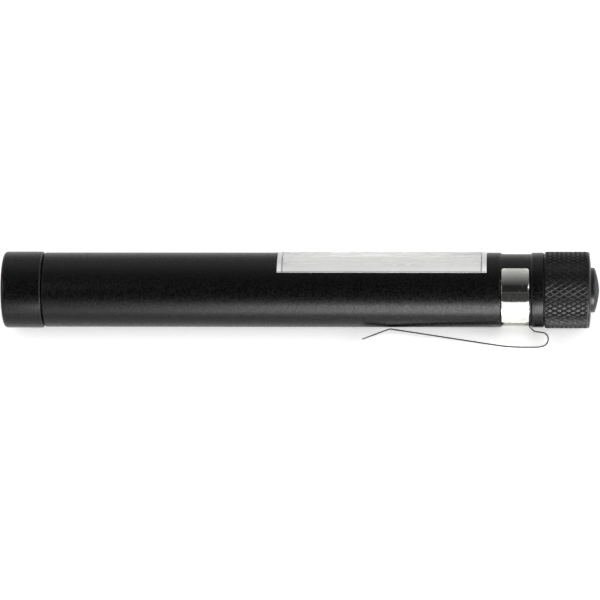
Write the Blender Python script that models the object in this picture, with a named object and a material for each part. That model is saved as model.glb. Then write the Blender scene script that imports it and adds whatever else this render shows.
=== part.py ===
"""Pen-size aluminium work light with a side window, a steel clip and a tail switch.

The light is modelled along +X, from the face of its head at X = 0 to its rubber button, with
its side window towards +Z and its clip towards -Z. The root empty then lays it down as it
rests on a table, on its head, its tail cap and one edge of its clip. All lengths are metres.
"""

import math

import bmesh
import bpy
from mathutils import Vector

# Clearances
SEAT_GAP = 0.0002  # along the axis, between two pieces that rest on each other
FIT_GAP = 0.0003  # around a piece that lies inside another
SEAM = 0.0003  # the two seams that show, at the head and at the tail cap

# Head
HEAD_LENGTH = 0.01095
HEAD_PROUD = 0.00025  # radius of the head over that of the barrel
HEAD_EDGE = 0.001  # rounding of its front edge
HEAD_LIP_REACH = 0.0013  # what the lip covers of the lens, all round
HEAD_LIP = 0.0012
HEAD_FLARE = 0.0004  # chamfer of the opening
LENS_THICKNESS = 0.0015
LENS_GAP = 0.00065  # around the lens, inside the bore of the head's thread
LENS_BEVEL = 0.0002
SEAL_SECTION = 0.00045

# Reflector and lamp
REFLECTOR_DEPTH = 0.0054
REFLECTOR_HOLE = 0.0025
REFLECTOR_WALL = 0.0006
REFLECTOR_RIM = 0.0005
REFLECTOR_GAP = 0.0001  # around the cup, in the barrel's spigot
LAMP_SIDE = 0.003
LAMP_HEIGHT = 0.0008
LAMP_DOME = 0.0012
LAMP_BOARD = 0.001

# Lamp holder, driver and front contact
PILL_DEPTH = 0.0036
PILL_FACE = 0.0013
PILL_WALL = 0.0006
PILL_FLANGE = 0.0008
DRIVER_BOARD = 0.001
DRIVER_PART_HEIGHT = 0.0008
INDUCTOR_RADIUS = 0.0015
CHIP_LENGTH = 0.004
CHIP_WIDTH = 0.003
DRIVER_PART_OFFSET = 0.0026
CONTACT_HEIGHT = 0.002
CONTACT_FOOT = 0.0025
CONTACT_STUD = 0.0014

# Cells and their sleeve
CELL_COUNT = 3
CELL_LENGTH = 0.0445
CELL_RADIUS = 0.0052
CELL_NUB_RADIUS = 0.0019
CELL_NUB_HEIGHT = 0.0008
CELL_EDGE = 0.0003
CELL_PROUD = 0.0023  # what the last cell stands out of the barrel
SLEEVE_WALL = 0.0004

# Barrel
BARREL_RADIUS = 0.01025
BARREL_WALL = 0.00145
BARREL_CHAMFER = 0.0003
SPIGOT_WALL = 0.001

# Threads of the head and of the tail cap
THREAD_PITCH = 0.00125
THREAD_TURNS = 2.75
THREAD_HEIGHT = 0.00045
THREAD_BASE = 0.00075
THREAD_CREST = 0.00025
THREAD_GAP = 0.0002
THREAD_LEAD_IN = 0.001  # plain length ahead of a male thread
THREAD_RELIEF = 0.0009  # plain length behind a male thread's lead-in, in the bore

# O-rings of the head and of the tail cap
RING_SECTION = 0.00038
RING_GAP = 0.00012
RING_SEAT = 0.0009  # length of a ring's groove

# Side window, measured back from the tail end of the barrel
WINDOW_SETBACK = 0.01555
WINDOW_LENGTH = 0.05735
COVER_PROUD = 0.00025
COVER_WALL = 0.0012
COVER_END_WALL = 0.0017
COVER_EDGE = 0.0002
COVER_SINK = 0.0005  # depth of the tray under the milled flat
TRAY_THICKNESS = 0.0007
TRAY_TUCK = 0.001  # what the tray reaches under the barrel at each end
TRAY_NOTCH_WIDTH = 0.0044
STRIP_BOARD_LENGTH = 0.051
STRIP_BOARD_WIDTH = 0.009
STRIP_BOARD_HEIGHT = 0.0008
STRIP_LENGTH = 0.048
STRIP_WIDTH = 0.005
STRIP_HEIGHT = 0.0006
WIRE_RADIUS = 0.0004
WIRE_SPACING = 0.0024
WIRE_RISE_LENGTH = 0.0015

# Clip: a band in a groove, a neck over the seam, a U bend and a spring arm
GROOVE_DEPTH = 0.0004
GROOVE_WIDTH = 0.00875
GROOVE_SHOULDER = 0.0012  # length of the rounded front shoulder
TAIL_LAND = 0.00355  # barrel behind the groove
BAND_WIDTH = 0.0074
BAND_END_ANGLE = 123.5  # degrees from the middle of the band to each of its ends
BAND_CORNER = 0.0007
CLIP_THICKNESS = 0.0004
CLIP_WIDTH = 0.0055
NECK_CLEARANCE = 0.00065  # under the neck, over the tail cap's radius
STEP_ANGLE = 42.0
STEP_INNER_RADIUS = 0.0006
STEP_OUTER_RADIUS = 0.0008
NECK_RUN = 0.00215
NECK_ANGLE = 7.0
BEND_UPPER_RADIUS = 0.0018
BEND_LOWER_RADIUS = 0.00205
BEND_EXIT_RADIUS = 0.008
BEND_EXIT_ANGLE = 15.0
HEEL_RUN = 0.0028
ARM_BOW_RADIUS = 0.055
ARM_RUN = 0.0284
CONTACT_RADIUS = 0.0022
CONTACT_GAP = 0.0003  # between the arm's contact bend and the barrel
FLARE_ANGLE = 20.5
FLARE_RUN = 0.0076
ARM_TIP_CORNER = 0.0022
BEND_SPLIT = 0.00055  # slit in the U bend, between the band's half and the arm's

# Tail switch, in order from the last cell to the end wall of the tail cap
SPRING_HEIGHT = 0.0019
SPRING_WIRE = 0.0003
SPRING_TURNS = 2.5
SPRING_TIP = 0.0016
SPRING_FOOT = 0.0044
SWITCH_BOARD = 0.001
RETAINER_LENGTH = 0.0013
RETAINER_WALL = 0.0014
SPACER_LENGTH = 0.0037
SPACER_WALL = 0.0012
HOUSING_LENGTH = 0.0026
HOUSING_SIDE = 0.0078
HOUSING_EDGE = 0.0004
PLUNGER_STROKE = 0.0012
PLUNGER_STEM = 0.0018
PLUNGER_STEM_DEPTH = 0.0017
PLUNGER_WELL = 0.0018
PLUNGER_SKIRT = 0.0008
PLUNGER_CROWN = 0.0008
PLUNGER_SPRING_WIRE = 0.00025
PLUNGER_SPRING_TURNS = 2.75

# Rubber button
BUTTON_RADIUS = 0.00615
BUTTON_WALL = 0.00095
BUTTON_TOP = 0.001
BUTTON_FLANGE = 0.0009
BUTTON_SIDE = 0.0011  # straight side that shows behind the end of the cap
BUTTON_CROWN = 0.0011  # rise of its domed end
BUTTON_EDGE = 0.00025

# Tail cap
CAP_PROUD = 0.00025
CAP_WALL = 0.0016
CAP_CONE = 0.0004  # rise of its end face towards the button
CAP_EDGE = 0.0005
CAP_CHAMFER = 0.00045
CAP_LIP = 0.0006
NECK_WALL = 0.00055
NECK_LENGTH = 0.0064
KNURL_STARTS = 44
KNURL_ROWS = 9
KNURL_DEPTH = 0.0003

# How finely round pieces are faceted
ROUND_STEPS = 40
SMALL_STEPS = 24
THREAD_STEPS = 24
SECTION_STEPS = 6
AXIS_MARK = 0.005  # size that the empty on a joint's axis is drawn at

# Radii that follow from the ones above
barrel_bore = BARREL_RADIUS - BARREL_WALL
head_radius = BARREL_RADIUS + HEAD_PROUD
cap_radius = BARREL_RADIUS + CAP_PROUD
spigot_radius = barrel_bore
spigot_bore = spigot_radius - SPIGOT_WALL
head_bore = spigot_radius + THREAD_HEIGHT + THREAD_GAP
lens_radius = head_bore - LENS_GAP
head_opening = lens_radius - HEAD_LIP_REACH
reflector_mouth = spigot_bore - REFLECTOR_GAP - REFLECTOR_WALL
tail_bore = barrel_bore + THREAD_HEIGHT
neck_radius = tail_bore - THREAD_GAP - THREAD_HEIGHT
cap_bore = neck_radius - NECK_WALL
ring_mouth = neck_radius + 2 * (RING_SECTION + RING_GAP)
groove_floor = BARREL_RADIUS - GROOVE_DEPTH
band_radius = groove_floor + FIT_GAP + CLIP_THICKNESS / 2
pill_radius = spigot_bore - FIT_GAP
sleeve_bore = CELL_RADIUS + FIT_GAP - SEAT_GAP / 4
sleeve_radius = sleeve_bore + SLEEVE_WALL
button_bore = BUTTON_RADIUS - BUTTON_WALL
cap_hole = BUTTON_RADIUS + FIT_GAP
inner_radius = cap_bore - FIT_GAP

# Stations along the axis, from the head back to the last cell
lens_front = HEAD_LIP + SEAT_GAP + 2 * SEAL_SECTION + SEAT_GAP
rim_front = lens_front + LENS_THICKNESS + SEAT_GAP
spigot_front = rim_front + REFLECTOR_RIM + SEAT_GAP
lamp_board_front = rim_front + REFLECTOR_DEPTH + SEAT_GAP
pill_front = lamp_board_front + LAMP_BOARD + SEAT_GAP
flange_front = pill_front + PILL_DEPTH
flange_back = flange_front + PILL_FLANGE
driver_part_front = pill_front + PILL_FACE + SEAT_GAP
driver_front = driver_part_front + DRIVER_PART_HEIGHT + SEAT_GAP
driver_back = driver_front + DRIVER_BOARD
cells_front = driver_back + SEAT_GAP + CONTACT_HEIGHT + SEAT_GAP
cell_step = CELL_LENGTH + SEAT_GAP
cells_back = cells_front + CELL_COUNT * cell_step - SEAT_GAP

# The barrel's ends, its window and its groove
barrel_front = HEAD_LENGTH + SEAM
barrel_back = cells_back - CELL_PROUD
window_back = barrel_back - WINDOW_SETBACK
window_front = window_back - WINDOW_LENGTH
groove_back = barrel_back - TAIL_LAND
groove_front = groove_back - GROOVE_WIDTH
band_middle = groove_back - BARREL_CHAMFER - BAND_WIDTH / 2 - FIT_GAP
head_ring_back = HEAD_LENGTH - BARREL_CHAMFER
ring_mouth_front = barrel_back - SEAM - RING_SEAT

# The tail switch and the cap, from the last cell to the end of the button
cap_front = barrel_back + SEAM
neck_front = cap_front - NECK_LENGTH
spring_front = cells_back + SEAT_GAP
spring_back = spring_front + SPRING_HEIGHT
switch_board_front = spring_back + SEAT_GAP
switch_board_back = switch_board_front + SWITCH_BOARD
spacer_front = switch_board_back + SEAT_GAP
spacer_back = spacer_front + SPACER_LENGTH
button_front = spacer_back + SEAT_GAP
cap_wall_front = button_front + BUTTON_FLANGE + SEAT_GAP
cap_back = cap_wall_front + CAP_WALL
cone_back = cap_back + CAP_CONE
button_side_back = cone_back + BUTTON_SIDE
button_back = button_side_back + BUTTON_CROWN
housing_back = spacer_front + HOUSING_LENGTH
plunger_front = housing_back + PLUNGER_STROKE + SEAT_GAP
plunger_back = button_side_back - BUTTON_TOP - SEAT_GAP

# Heights in the barrel: the sleeve lies on its wall, and the tray on the sleeve
cell_axis_z = -(barrel_bore - FIT_GAP - sleeve_radius)
tray_bottom = cell_axis_z + sleeve_radius + SEAT_GAP
tray_top = tray_bottom + TRAY_THICKNESS
window_flat = tray_top + COVER_SINK
cover_bottom = window_flat + FIT_GAP
strip_board_bottom = tray_top + SEAT_GAP
strip_bottom = strip_board_bottom + STRIP_BOARD_HEIGHT + SEAT_GAP
wire_z = tray_bottom + WIRE_RADIUS
wire_end_z = strip_board_bottom + STRIP_BOARD_HEIGHT / 2
strip_board_front = (window_front + window_back - STRIP_BOARD_LENGTH) / 2

# Where the two threads start, and how far each unscrews
head_thread_start = spigot_front + THREAD_LEAD_IN
tail_thread_start = neck_front + THREAD_LEAD_IN / 2
thread_travel = (THREAD_TURNS + 0.5) * THREAD_PITCH


def clear_scene():
    """Remove every object that the scene starts with."""
    for obj in list(bpy.data.objects):
        bpy.data.objects.remove(obj, do_unlink=True)


def finish(obj, color, roughness, metallic=0.0, transmission=0.0):
    """Give the object a Principled material of its own."""
    material = bpy.data.materials.new(obj.name)
    material.use_nodes = True
    material.diffuse_color = (*color, 1.0)
    shader = material.node_tree.nodes["Principled BSDF"]
    shader.inputs["Base Color"].default_value = (*color, 1.0)
    shader.inputs["Roughness"].default_value = roughness
    shader.inputs["Metallic"].default_value = metallic
    shader.inputs["Transmission Weight"].default_value = transmission
    obj.data.materials.append(material)


def place(obj, parent, location=(0.0, 0.0, 0.0)):
    """Link the object into the scene under a parent, at a place in the light's frame."""
    if obj.name not in bpy.context.scene.collection.objects:
        bpy.context.scene.collection.objects.link(obj)
    obj.parent = parent
    obj.location = Vector(location) - parent_origin(parent)
    return obj


def parent_origin(parent):
    """Return where the parent lies in the light's own frame."""
    origin = Vector((0.0, 0.0, 0.0))
    while parent is not None and parent.parent is not None:
        origin += parent.location
        parent = parent.parent
    return origin


def axis_empty(name, parent, location):
    """Add an empty on a joint's axis, for the pieces that move about it."""
    empty = bpy.data.objects.new(name, None)
    empty.empty_display_size = AXIS_MARK
    return place(empty, parent, location)


def mesh_object(name, bm, sharp_angle=35.0):
    """Turn a bmesh into an object with smooth faces and sharp edges."""
    bmesh.ops.recalc_face_normals(bm, faces=bm.faces)
    mesh = bpy.data.meshes.new(name)
    bm.to_mesh(mesh)
    bm.free()
    mesh.shade_smooth()
    mesh.set_sharp_from_angle(angle=math.radians(sharp_angle))
    return bpy.data.objects.new(name, mesh)


def spun(bm, profile, steps):
    """Spin (x, r) points about the X axis, as a closed ring unless they end on the axis."""
    verts = [bm.verts.new((x, 0.0, r)) for x, r in profile]
    edges = [bm.edges.new(pair) for pair in zip(verts, verts[1:])]
    if profile[0][1] > 0.0 and profile[-1][1] > 0.0:
        edges.append(bm.edges.new((verts[-1], verts[0])))
    bmesh.ops.spin(
        bm,
        geom=verts + edges,
        cent=(0.0, 0.0, 0.0),
        axis=(1.0, 0.0, 0.0),
        angle=math.tau,
        steps=steps,
        use_merge=True,
    )
    bmesh.ops.remove_doubles(bm, verts=bm.verts, dist=1e-7)


def turned(name, profile, steps=ROUND_STEPS, sharp_angle=35.0):
    """Make a turned piece from (x, r) points."""
    bm = bmesh.new()
    spun(bm, profile, steps)
    return mesh_object(name, bm, sharp_angle)


def arc(x, r, radius, start, end, steps):
    """Return (x, r) points along an arc about a centre, between two angles in degrees."""
    angles = [math.radians(start + (end - start) * i / steps) for i in range(steps + 1)]
    return [(x + radius * math.cos(a), r + radius * math.sin(a)) for a in angles]


def disc(name, length, radius, edge=0.0, steps=SMALL_STEPS):
    """Make a round plate from x = 0 to its length, with broken edges if asked."""
    profile = [(0.0, 0.0), (0.0, radius - edge)]
    if edge > 0.0:
        profile.append((edge, radius))
        profile.append((length - edge, radius))
    else:
        profile.append((length, radius))
    if edge > 0.0:
        profile.append((length, radius - edge))
    profile.append((length, 0.0))
    return turned(name, profile, steps)


def tube(name, length, inner, outer, steps=SMALL_STEPS):
    """Make a plain ring or sleeve from x = 0 to its length."""
    return turned(name, [(0.0, inner), (0.0, outer), (length, outer), (length, inner)], steps)


def o_ring(name, radius, section, steps=30):
    """Make a ring of round section, centred on its own middle."""
    loop = arc(0.0, radius, section, 0.0, 360.0, SECTION_STEPS)[:-1]
    return turned(name, loop, steps, 80.0)


def box(name, size, edge=0.0):
    """Make a box centred on its own middle, with bevelled edges if asked."""
    bm = bmesh.new()
    bmesh.ops.create_cube(bm, size=1.0)
    bmesh.ops.scale(bm, vec=size, verts=bm.verts)
    if edge > 0.0:
        bmesh.ops.bevel(bm, geom=bm.edges[:], offset=edge, segments=1, affect="EDGES")
    return mesh_object(name, bm)


def lofted(name, sections):
    """Skin closed (y, z) outlines at successive x, and close both ends."""
    bm = bmesh.new()
    rings = [[bm.verts.new((x, y, z)) for y, z in outline] for x, outline in sections]
    for ring, following in zip(rings, rings[1:]):
        for i in range(len(ring)):
            j = (i + 1) % len(ring)
            bm.faces.new((ring[i], ring[j], following[j], following[i]))
    bm.faces.new(rings[0])
    bm.faces.new(rings[-1])
    return mesh_object(name, bm)


def segment_outline(radius, low, steps=20):
    """Outline the part of a circle that lies above z = low, as (y, z) points."""
    half = math.acos(low / radius)
    angles = [half - 2 * half * i / steps for i in range(steps + 1)]
    return [(radius * math.sin(a), radius * math.cos(a)) for a in angles]


def boolean(obj, tool, operation):
    """Cut a helper from the object, or add it, with a Boolean modifier."""
    tool.hide_render = True
    tool.display_type = "WIRE"
    modifier = obj.modifiers.new(tool.name, "BOOLEAN")
    modifier.operation = operation
    modifier.solver = "EXACT"
    modifier.object = tool


def thread(name, start, root, outward):
    """Make the rib of a right-hand thread, sunk a little into the wall that it stands on.

    The rib's middle advances one pitch along +X for each turn about +X. Its crest rises out
    of the wall over the first eighth of a turn, and sinks back over the last.
    """
    sign = 1.0 if outward else -1.0
    sink = THREAD_HEIGHT / 2
    flank = (THREAD_BASE - THREAD_CREST) / 2 / THREAD_HEIGHT
    foot = THREAD_BASE / 2 + flank * sink
    count = round(THREAD_TURNS * THREAD_STEPS)
    bm = bmesh.new()
    rings = []
    for i in range(count + 1):
        angle = math.tau * i / THREAD_STEPS
        rise = min(1.0, 8.0 * min(i, count - i) / THREAD_STEPS)
        crest = root + sign * (THREAD_HEIGHT * rise - sink / 2 * (1.0 - rise))
        base = root - sign * sink
        middle = start + THREAD_PITCH * i / THREAD_STEPS
        points = (
            (middle - foot, base),
            (middle - THREAD_CREST / 2, crest),
            (middle + THREAD_CREST / 2, crest),
            (middle + foot, base),
        )
        rings.append(
            [bm.verts.new((x, -r * math.sin(angle), r * math.cos(angle))) for x, r in points]
        )
    for ring, following in zip(rings, rings[1:]):
        for k in range(4):
            bm.faces.new((ring[k], ring[(k + 1) % 4], following[(k + 1) % 4], following[k]))
    bm.faces.new(rings[0])
    bm.faces.new(rings[-1])
    return mesh_object(name, bm)


def wire_curve(name, points, radius, sides):
    """Make a round wire along a run of points, with closed ends."""
    curve = bpy.data.curves.new(name, "CURVE")
    curve.dimensions = "3D"
    curve.bevel_depth = radius
    curve.bevel_resolution = sides
    curve.use_fill_caps = True
    spline = curve.splines.new("POLY")
    spline.points.add(len(points) - 1)
    for point, place_on_route in zip(spline.points, points):
        point.co = (*place_on_route, 1.0)
    return bpy.data.objects.new(name, curve)


def coil_points(length, start_radius, end_radius, turns):
    """Return the middle line of a coil spring that winds along +X from x = 0."""
    count = round(10 * turns)
    points = []
    for i in range(count + 1):
        share = i / count
        radius = start_radius + (end_radius - start_radius) * share
        angle = math.tau * turns * share
        points.append((length * share, radius * math.sin(angle), radius * math.cos(angle)))
    return points


class StripPath:
    """The middle line of the bent clip strip, seen from the side as (x, depth under axis)."""

    def __init__(self, x, depth):
        """Start at a point, heading towards +X."""
        self.points = [(x, depth)]
        self.headings = [0.0]

    def run(self, length, steps=1):
        """Go straight on."""
        for _ in range(steps):
            x, depth = self.points[-1]
            heading = math.radians(self.headings[-1])
            step = length / steps
            self.points.append((x + step * math.cos(heading), depth + step * math.sin(heading)))
            self.headings.append(self.headings[-1])

    def turn(self, radius, angle, steps):
        """Bend through an angle in degrees, away from the axis if it is positive."""
        for _ in range(steps):
            x, depth = self.points[-1]
            chord = 2 * radius * math.sin(math.radians(abs(angle)) / steps / 2)
            middle = math.radians(self.headings[-1] + angle / steps / 2)
            self.points.append((x + chord * math.cos(middle), depth + chord * math.sin(middle)))
            self.headings.append(self.headings[-1] + angle / steps)


def neck_path():
    """Trace the strip from the band's back edge to the outermost point of the U bend."""
    neck_depth = cap_radius + NECK_CLEARANCE + CLIP_THICKNESS / 2
    inner_rise = STEP_INNER_RADIUS * (1 - math.cos(math.radians(STEP_ANGLE)))
    outer_rise = STEP_OUTER_RADIUS * (
        math.cos(math.radians(NECK_ANGLE)) - math.cos(math.radians(STEP_ANGLE))
    )
    straight = (neck_depth - band_radius - inner_rise - outer_rise) / math.sin(
        math.radians(STEP_ANGLE)
    )
    path = StripPath(band_middle + BAND_WIDTH / 2, band_radius)
    path.turn(STEP_INNER_RADIUS, STEP_ANGLE, 3)
    path.run(straight)
    path.turn(STEP_OUTER_RADIUS, NECK_ANGLE - STEP_ANGLE, 3)
    path.run(NECK_RUN)
    slit = math.degrees(BEND_SPLIT / 2 / BEND_UPPER_RADIUS)
    path.turn(BEND_UPPER_RADIUS, 90.0 - NECK_ANGLE - slit, 6)
    return path


def bend_side():
    """Return the outermost point of the U bend, as (x, depth)."""
    path = neck_path()
    slit = math.degrees(BEND_SPLIT / 2 / BEND_UPPER_RADIUS)
    path.turn(BEND_UPPER_RADIUS, slit, 1)
    return path.points[-1]


def arm_path(lean):
    """Trace the strip from the U bend to its tip, for a lean of the arm in degrees."""
    path = StripPath(*bend_side())
    path.headings = [90.0]
    slit = math.degrees(BEND_SPLIT / 2 / BEND_LOWER_RADIUS)
    path.turn(BEND_LOWER_RADIUS, slit, 1)
    path.points.pop(0)
    path.headings.pop(0)
    path.turn(BEND_LOWER_RADIUS, 90.0 - BEND_EXIT_ANGLE - slit, 6)
    path.turn(BEND_EXIT_RADIUS, BEND_EXIT_ANGLE, 3)
    path.run(HEEL_RUN)
    path.turn(ARM_BOW_RADIUS, lean, 4)
    path.run(ARM_RUN, 3)
    path.turn(CONTACT_RADIUS, -lean - FLARE_ANGLE, 6)
    path.run(FLARE_RUN - ARM_TIP_CORNER)
    path.run(ARM_TIP_CORNER, 4)
    return path


def arm_lean():
    """Find the lean that brings the contact bend to its gap over the barrel, in degrees."""
    wanted = BARREL_RADIUS + CONTACT_GAP + CLIP_THICKNESS / 2
    low, high = 0.0, 40.0
    for _ in range(40):
        lean = (low + high) / 2
        points = arm_path(lean).points
        lowest = min(depth for x, depth in points[14:])
        if lowest > wanted:
            low = lean
        else:
            high = lean
    return (low + high) / 2


def lie_on_side(root, clip_depth):
    """Turn the root so that the light rests on its round ends and on one edge of its clip."""
    reach = math.hypot(clip_depth, CLIP_WIDTH / 2)
    rest_radius = max(head_radius, cap_radius)
    turn = math.acos(rest_radius / reach) + math.atan2(CLIP_WIDTH / 2, clip_depth)
    clip_side = CLIP_WIDTH / 2 * math.cos(turn) + clip_depth * math.sin(turn)
    root.rotation_euler = (-turn, 0.0, 0.0)
    root.location = (-button_back / 2, (clip_side - rest_radius) / 2, rest_radius)


def sheet(rows):
    """Join rows of points into a strip of metal sheet, thickened about its middle."""
    bm = bmesh.new()
    grid = [[bm.verts.new(point) for point in row] for row in rows]
    for row, following in zip(grid, grid[1:]):
        for i in range(len(row) - 1):
            bm.faces.new((row[i], row[i + 1], following[i + 1], following[i]))
    return bm


def thicken(obj):
    """Give a sheet object the thickness of the clip's steel."""
    modifier = obj.modifiers.new("Thickness", "SOLIDIFY")
    modifier.thickness = CLIP_THICKNESS
    modifier.offset = 0.0
    modifier.use_even_offset = True
    modifier.use_quality_normals = True


def build_head(root):
    """Make the screw-on head, its lens and the seal between them."""
    lens_axis = axis_empty("lens_axis", root, (HEAD_LIP, 0.0, 0.0))
    head_axis = axis_empty("head_axis", lens_axis, (HEAD_LIP, 0.0, 0.0))
    edge = arc(HEAD_EDGE, head_radius - HEAD_EDGE, HEAD_EDGE, 180.0, 90.0, 5)
    thread_room = spigot_front - SEAT_GAP
    profile = [
        (HEAD_FLARE, head_opening),
        (0.0, head_opening + HEAD_FLARE),
        *edge,
        (HEAD_LENGTH - BARREL_CHAMFER, head_radius),
        (HEAD_LENGTH, head_radius - BARREL_CHAMFER),
        (HEAD_LENGTH, head_bore),
        (thread_room, head_bore),
        (thread_room, lens_radius + FIT_GAP),
        (HEAD_LIP, lens_radius + FIT_GAP),
        (HEAD_LIP, head_opening),
    ]
    bezel = turned("bezel", profile)
    place(bezel, head_axis)
    rib = thread("bezel_thread", head_thread_start - THREAD_PITCH / 2, head_bore, False)
    place(rib, head_axis)
    boolean(bezel, rib, "UNION")
    finish(bezel, (0.012, 0.012, 0.013), 0.38, 0.6)
    lens = disc("front_lens", LENS_THICKNESS, lens_radius, LENS_BEVEL, ROUND_STEPS)
    place(lens, lens_axis, (lens_front, 0.0, 0.0))
    finish(lens, (0.85, 0.88, 0.88), 0.05, 0.0, 0.9)
    seal_radius = lens_radius - SEAL_SECTION - LENS_BEVEL
    seal = o_ring("lens_seal", seal_radius, SEAL_SECTION)
    place(seal, lens_axis, (HEAD_LIP + SEAT_GAP + SEAL_SECTION, 0.0, 0.0))
    finish(seal, (0.02, 0.02, 0.02), 0.7)


def reflector_radius(x):
    """Return the inner radius of the parabolic reflector at a distance behind its rim."""
    rate = (reflector_mouth**2 - REFLECTOR_HOLE**2) / REFLECTOR_DEPTH
    return math.sqrt(reflector_mouth**2 - rate * x)


def build_lamp(root):
    """Make the reflector, the lamp, its boards and the holder that carries them."""
    stations = [REFLECTOR_DEPTH * (1.0 - (1.0 - i / 5) ** 2) for i in range(6)]
    inside = [(x, reflector_radius(x)) for x in stations]
    outside = [(x, r + REFLECTOR_WALL) for x, r in inside if x > REFLECTOR_RIM]
    rim_radius = spigot_radius - SEAT_GAP / 2
    rim = [
        (REFLECTOR_RIM, reflector_radius(REFLECTOR_RIM) + REFLECTOR_WALL),
        (REFLECTOR_RIM, rim_radius),
        (0.0, rim_radius),
    ]
    reflector = turned("reflector", inside + outside[::-1] + rim, 32)
    place(reflector, root, (rim_front, 0.0, 0.0))
    finish(reflector, (0.9, 0.9, 0.9), 0.08, 1.0)

    lamp_middle = lamp_board_front - SEAT_GAP - LAMP_HEIGHT / 2
    lamp = box("led_emitter", (LAMP_HEIGHT, LAMP_SIDE, LAMP_SIDE))
    place(lamp, root, (lamp_middle, 0.0, 0.0))
    dome_profile = arc(0.0, 0.0, LAMP_DOME, 180.0, 90.0, 5) + [(LAMP_HEIGHT / 4, LAMP_DOME)]
    dome = turned("led_dome", dome_profile + [(LAMP_HEIGHT / 4, 0.0)], 16)
    place(dome, root, (lamp_middle - LAMP_HEIGHT / 2, 0.0, 0.0))
    boolean(lamp, dome, "UNION")
    finish(lamp, (0.85, 0.75, 0.3), 0.3)

    board = disc("led_board", LAMP_BOARD, pill_radius - SEAT_GAP / 2)
    place(board, root, (lamp_board_front, 0.0, 0.0))
    finish(board, (0.8, 0.8, 0.78), 0.5)

    recess = pill_radius - PILL_WALL
    flange_radius = barrel_bore - FIT_GAP
    pill_profile = [
        (pill_front, 0.0),
        (pill_front, pill_radius),
        (flange_front, pill_radius),
        (flange_front, flange_radius),
        (flange_back, flange_radius),
        (flange_back, recess),
        (pill_front + PILL_FACE, recess),
        (pill_front + PILL_FACE, 0.0),
    ]
    pill = turned("led_pill", [(x - pill_front, r) for x, r in pill_profile], 36)
    place(pill, root, (pill_front, 0.0, 0.0))
    finish(pill, (0.78, 0.6, 0.32), 0.35, 1.0)

    driver = disc("driver_board", DRIVER_BOARD, recess - SEAT_GAP)
    place(driver, root, (driver_front, 0.0, 0.0))
    finish(driver, (0.03, 0.18, 0.08), 0.5)
    inductor = disc("driver_inductor", DRIVER_PART_HEIGHT, INDUCTOR_RADIUS, 0.0, 16)
    place(inductor, root, (driver_part_front, DRIVER_PART_OFFSET, 0.0))
    finish(inductor, (0.08, 0.08, 0.09), 0.6)
    chip = box("driver_chip", (DRIVER_PART_HEIGHT, CHIP_WIDTH, CHIP_LENGTH))
    chip_middle = driver_part_front + DRIVER_PART_HEIGHT / 2
    place(chip, root, (chip_middle, -DRIVER_PART_OFFSET, 0.0))
    finish(chip, (0.02, 0.02, 0.02), 0.45)

    foot = CONTACT_HEIGHT / 4
    contact_profile = [
        (0.0, 0.0),
        (0.0, CONTACT_FOOT),
        (foot, CONTACT_FOOT),
        (foot, CONTACT_STUD),
        (CONTACT_HEIGHT - foot / 2, CONTACT_STUD),
        (CONTACT_HEIGHT, CONTACT_STUD - foot / 2),
        (CONTACT_HEIGHT, 0.0),
    ]
    contact = turned("positive_contact", contact_profile, 16)
    place(contact, root, (driver_back + SEAT_GAP, 0.0, cell_axis_z))
    finish(contact, (0.85, 0.68, 0.35), 0.3, 1.0)


def build_cells(root):
    """Make the cells, nose to tail, and the sleeve that holds them."""
    body = CELL_NUB_HEIGHT
    profile = [
        (0.0, 0.0),
        (0.0, CELL_NUB_RADIUS),
        (body, CELL_NUB_RADIUS),
        (body, CELL_RADIUS - CELL_EDGE),
        (body + CELL_EDGE, CELL_RADIUS),
        (CELL_LENGTH - CELL_EDGE, CELL_RADIUS),
        (CELL_LENGTH, CELL_RADIUS - CELL_EDGE),
        (CELL_LENGTH, 0.0),
    ]
    for i in range(CELL_COUNT):
        cell = turned(f"cell_{i + 1}", profile, SMALL_STEPS)
        place(cell, root, (cells_front + i * cell_step, 0.0, cell_axis_z))
        finish(cell, (0.05, 0.06, 0.08), 0.35)
    length = neck_front - THREAD_LEAD_IN - cells_front
    sleeve = tube("cell_sleeve", length, sleeve_bore, sleeve_radius, 36)
    place(sleeve, root, (cells_front, 0.0, cell_axis_z))
    finish(sleeve, (0.7, 0.7, 0.68), 0.5)


def shoulder_profile():
    """Return the rounded front shoulder of the clip's groove, down to the groove's floor."""
    drop = GROOVE_DEPTH
    points = []
    for i in range(5):
        share = i / 4
        eased = share * share * (3.0 - 2.0 * share)
        points.append((groove_front + GROOVE_SHOULDER * share, BARREL_RADIUS - drop * eased))
    return points


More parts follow.
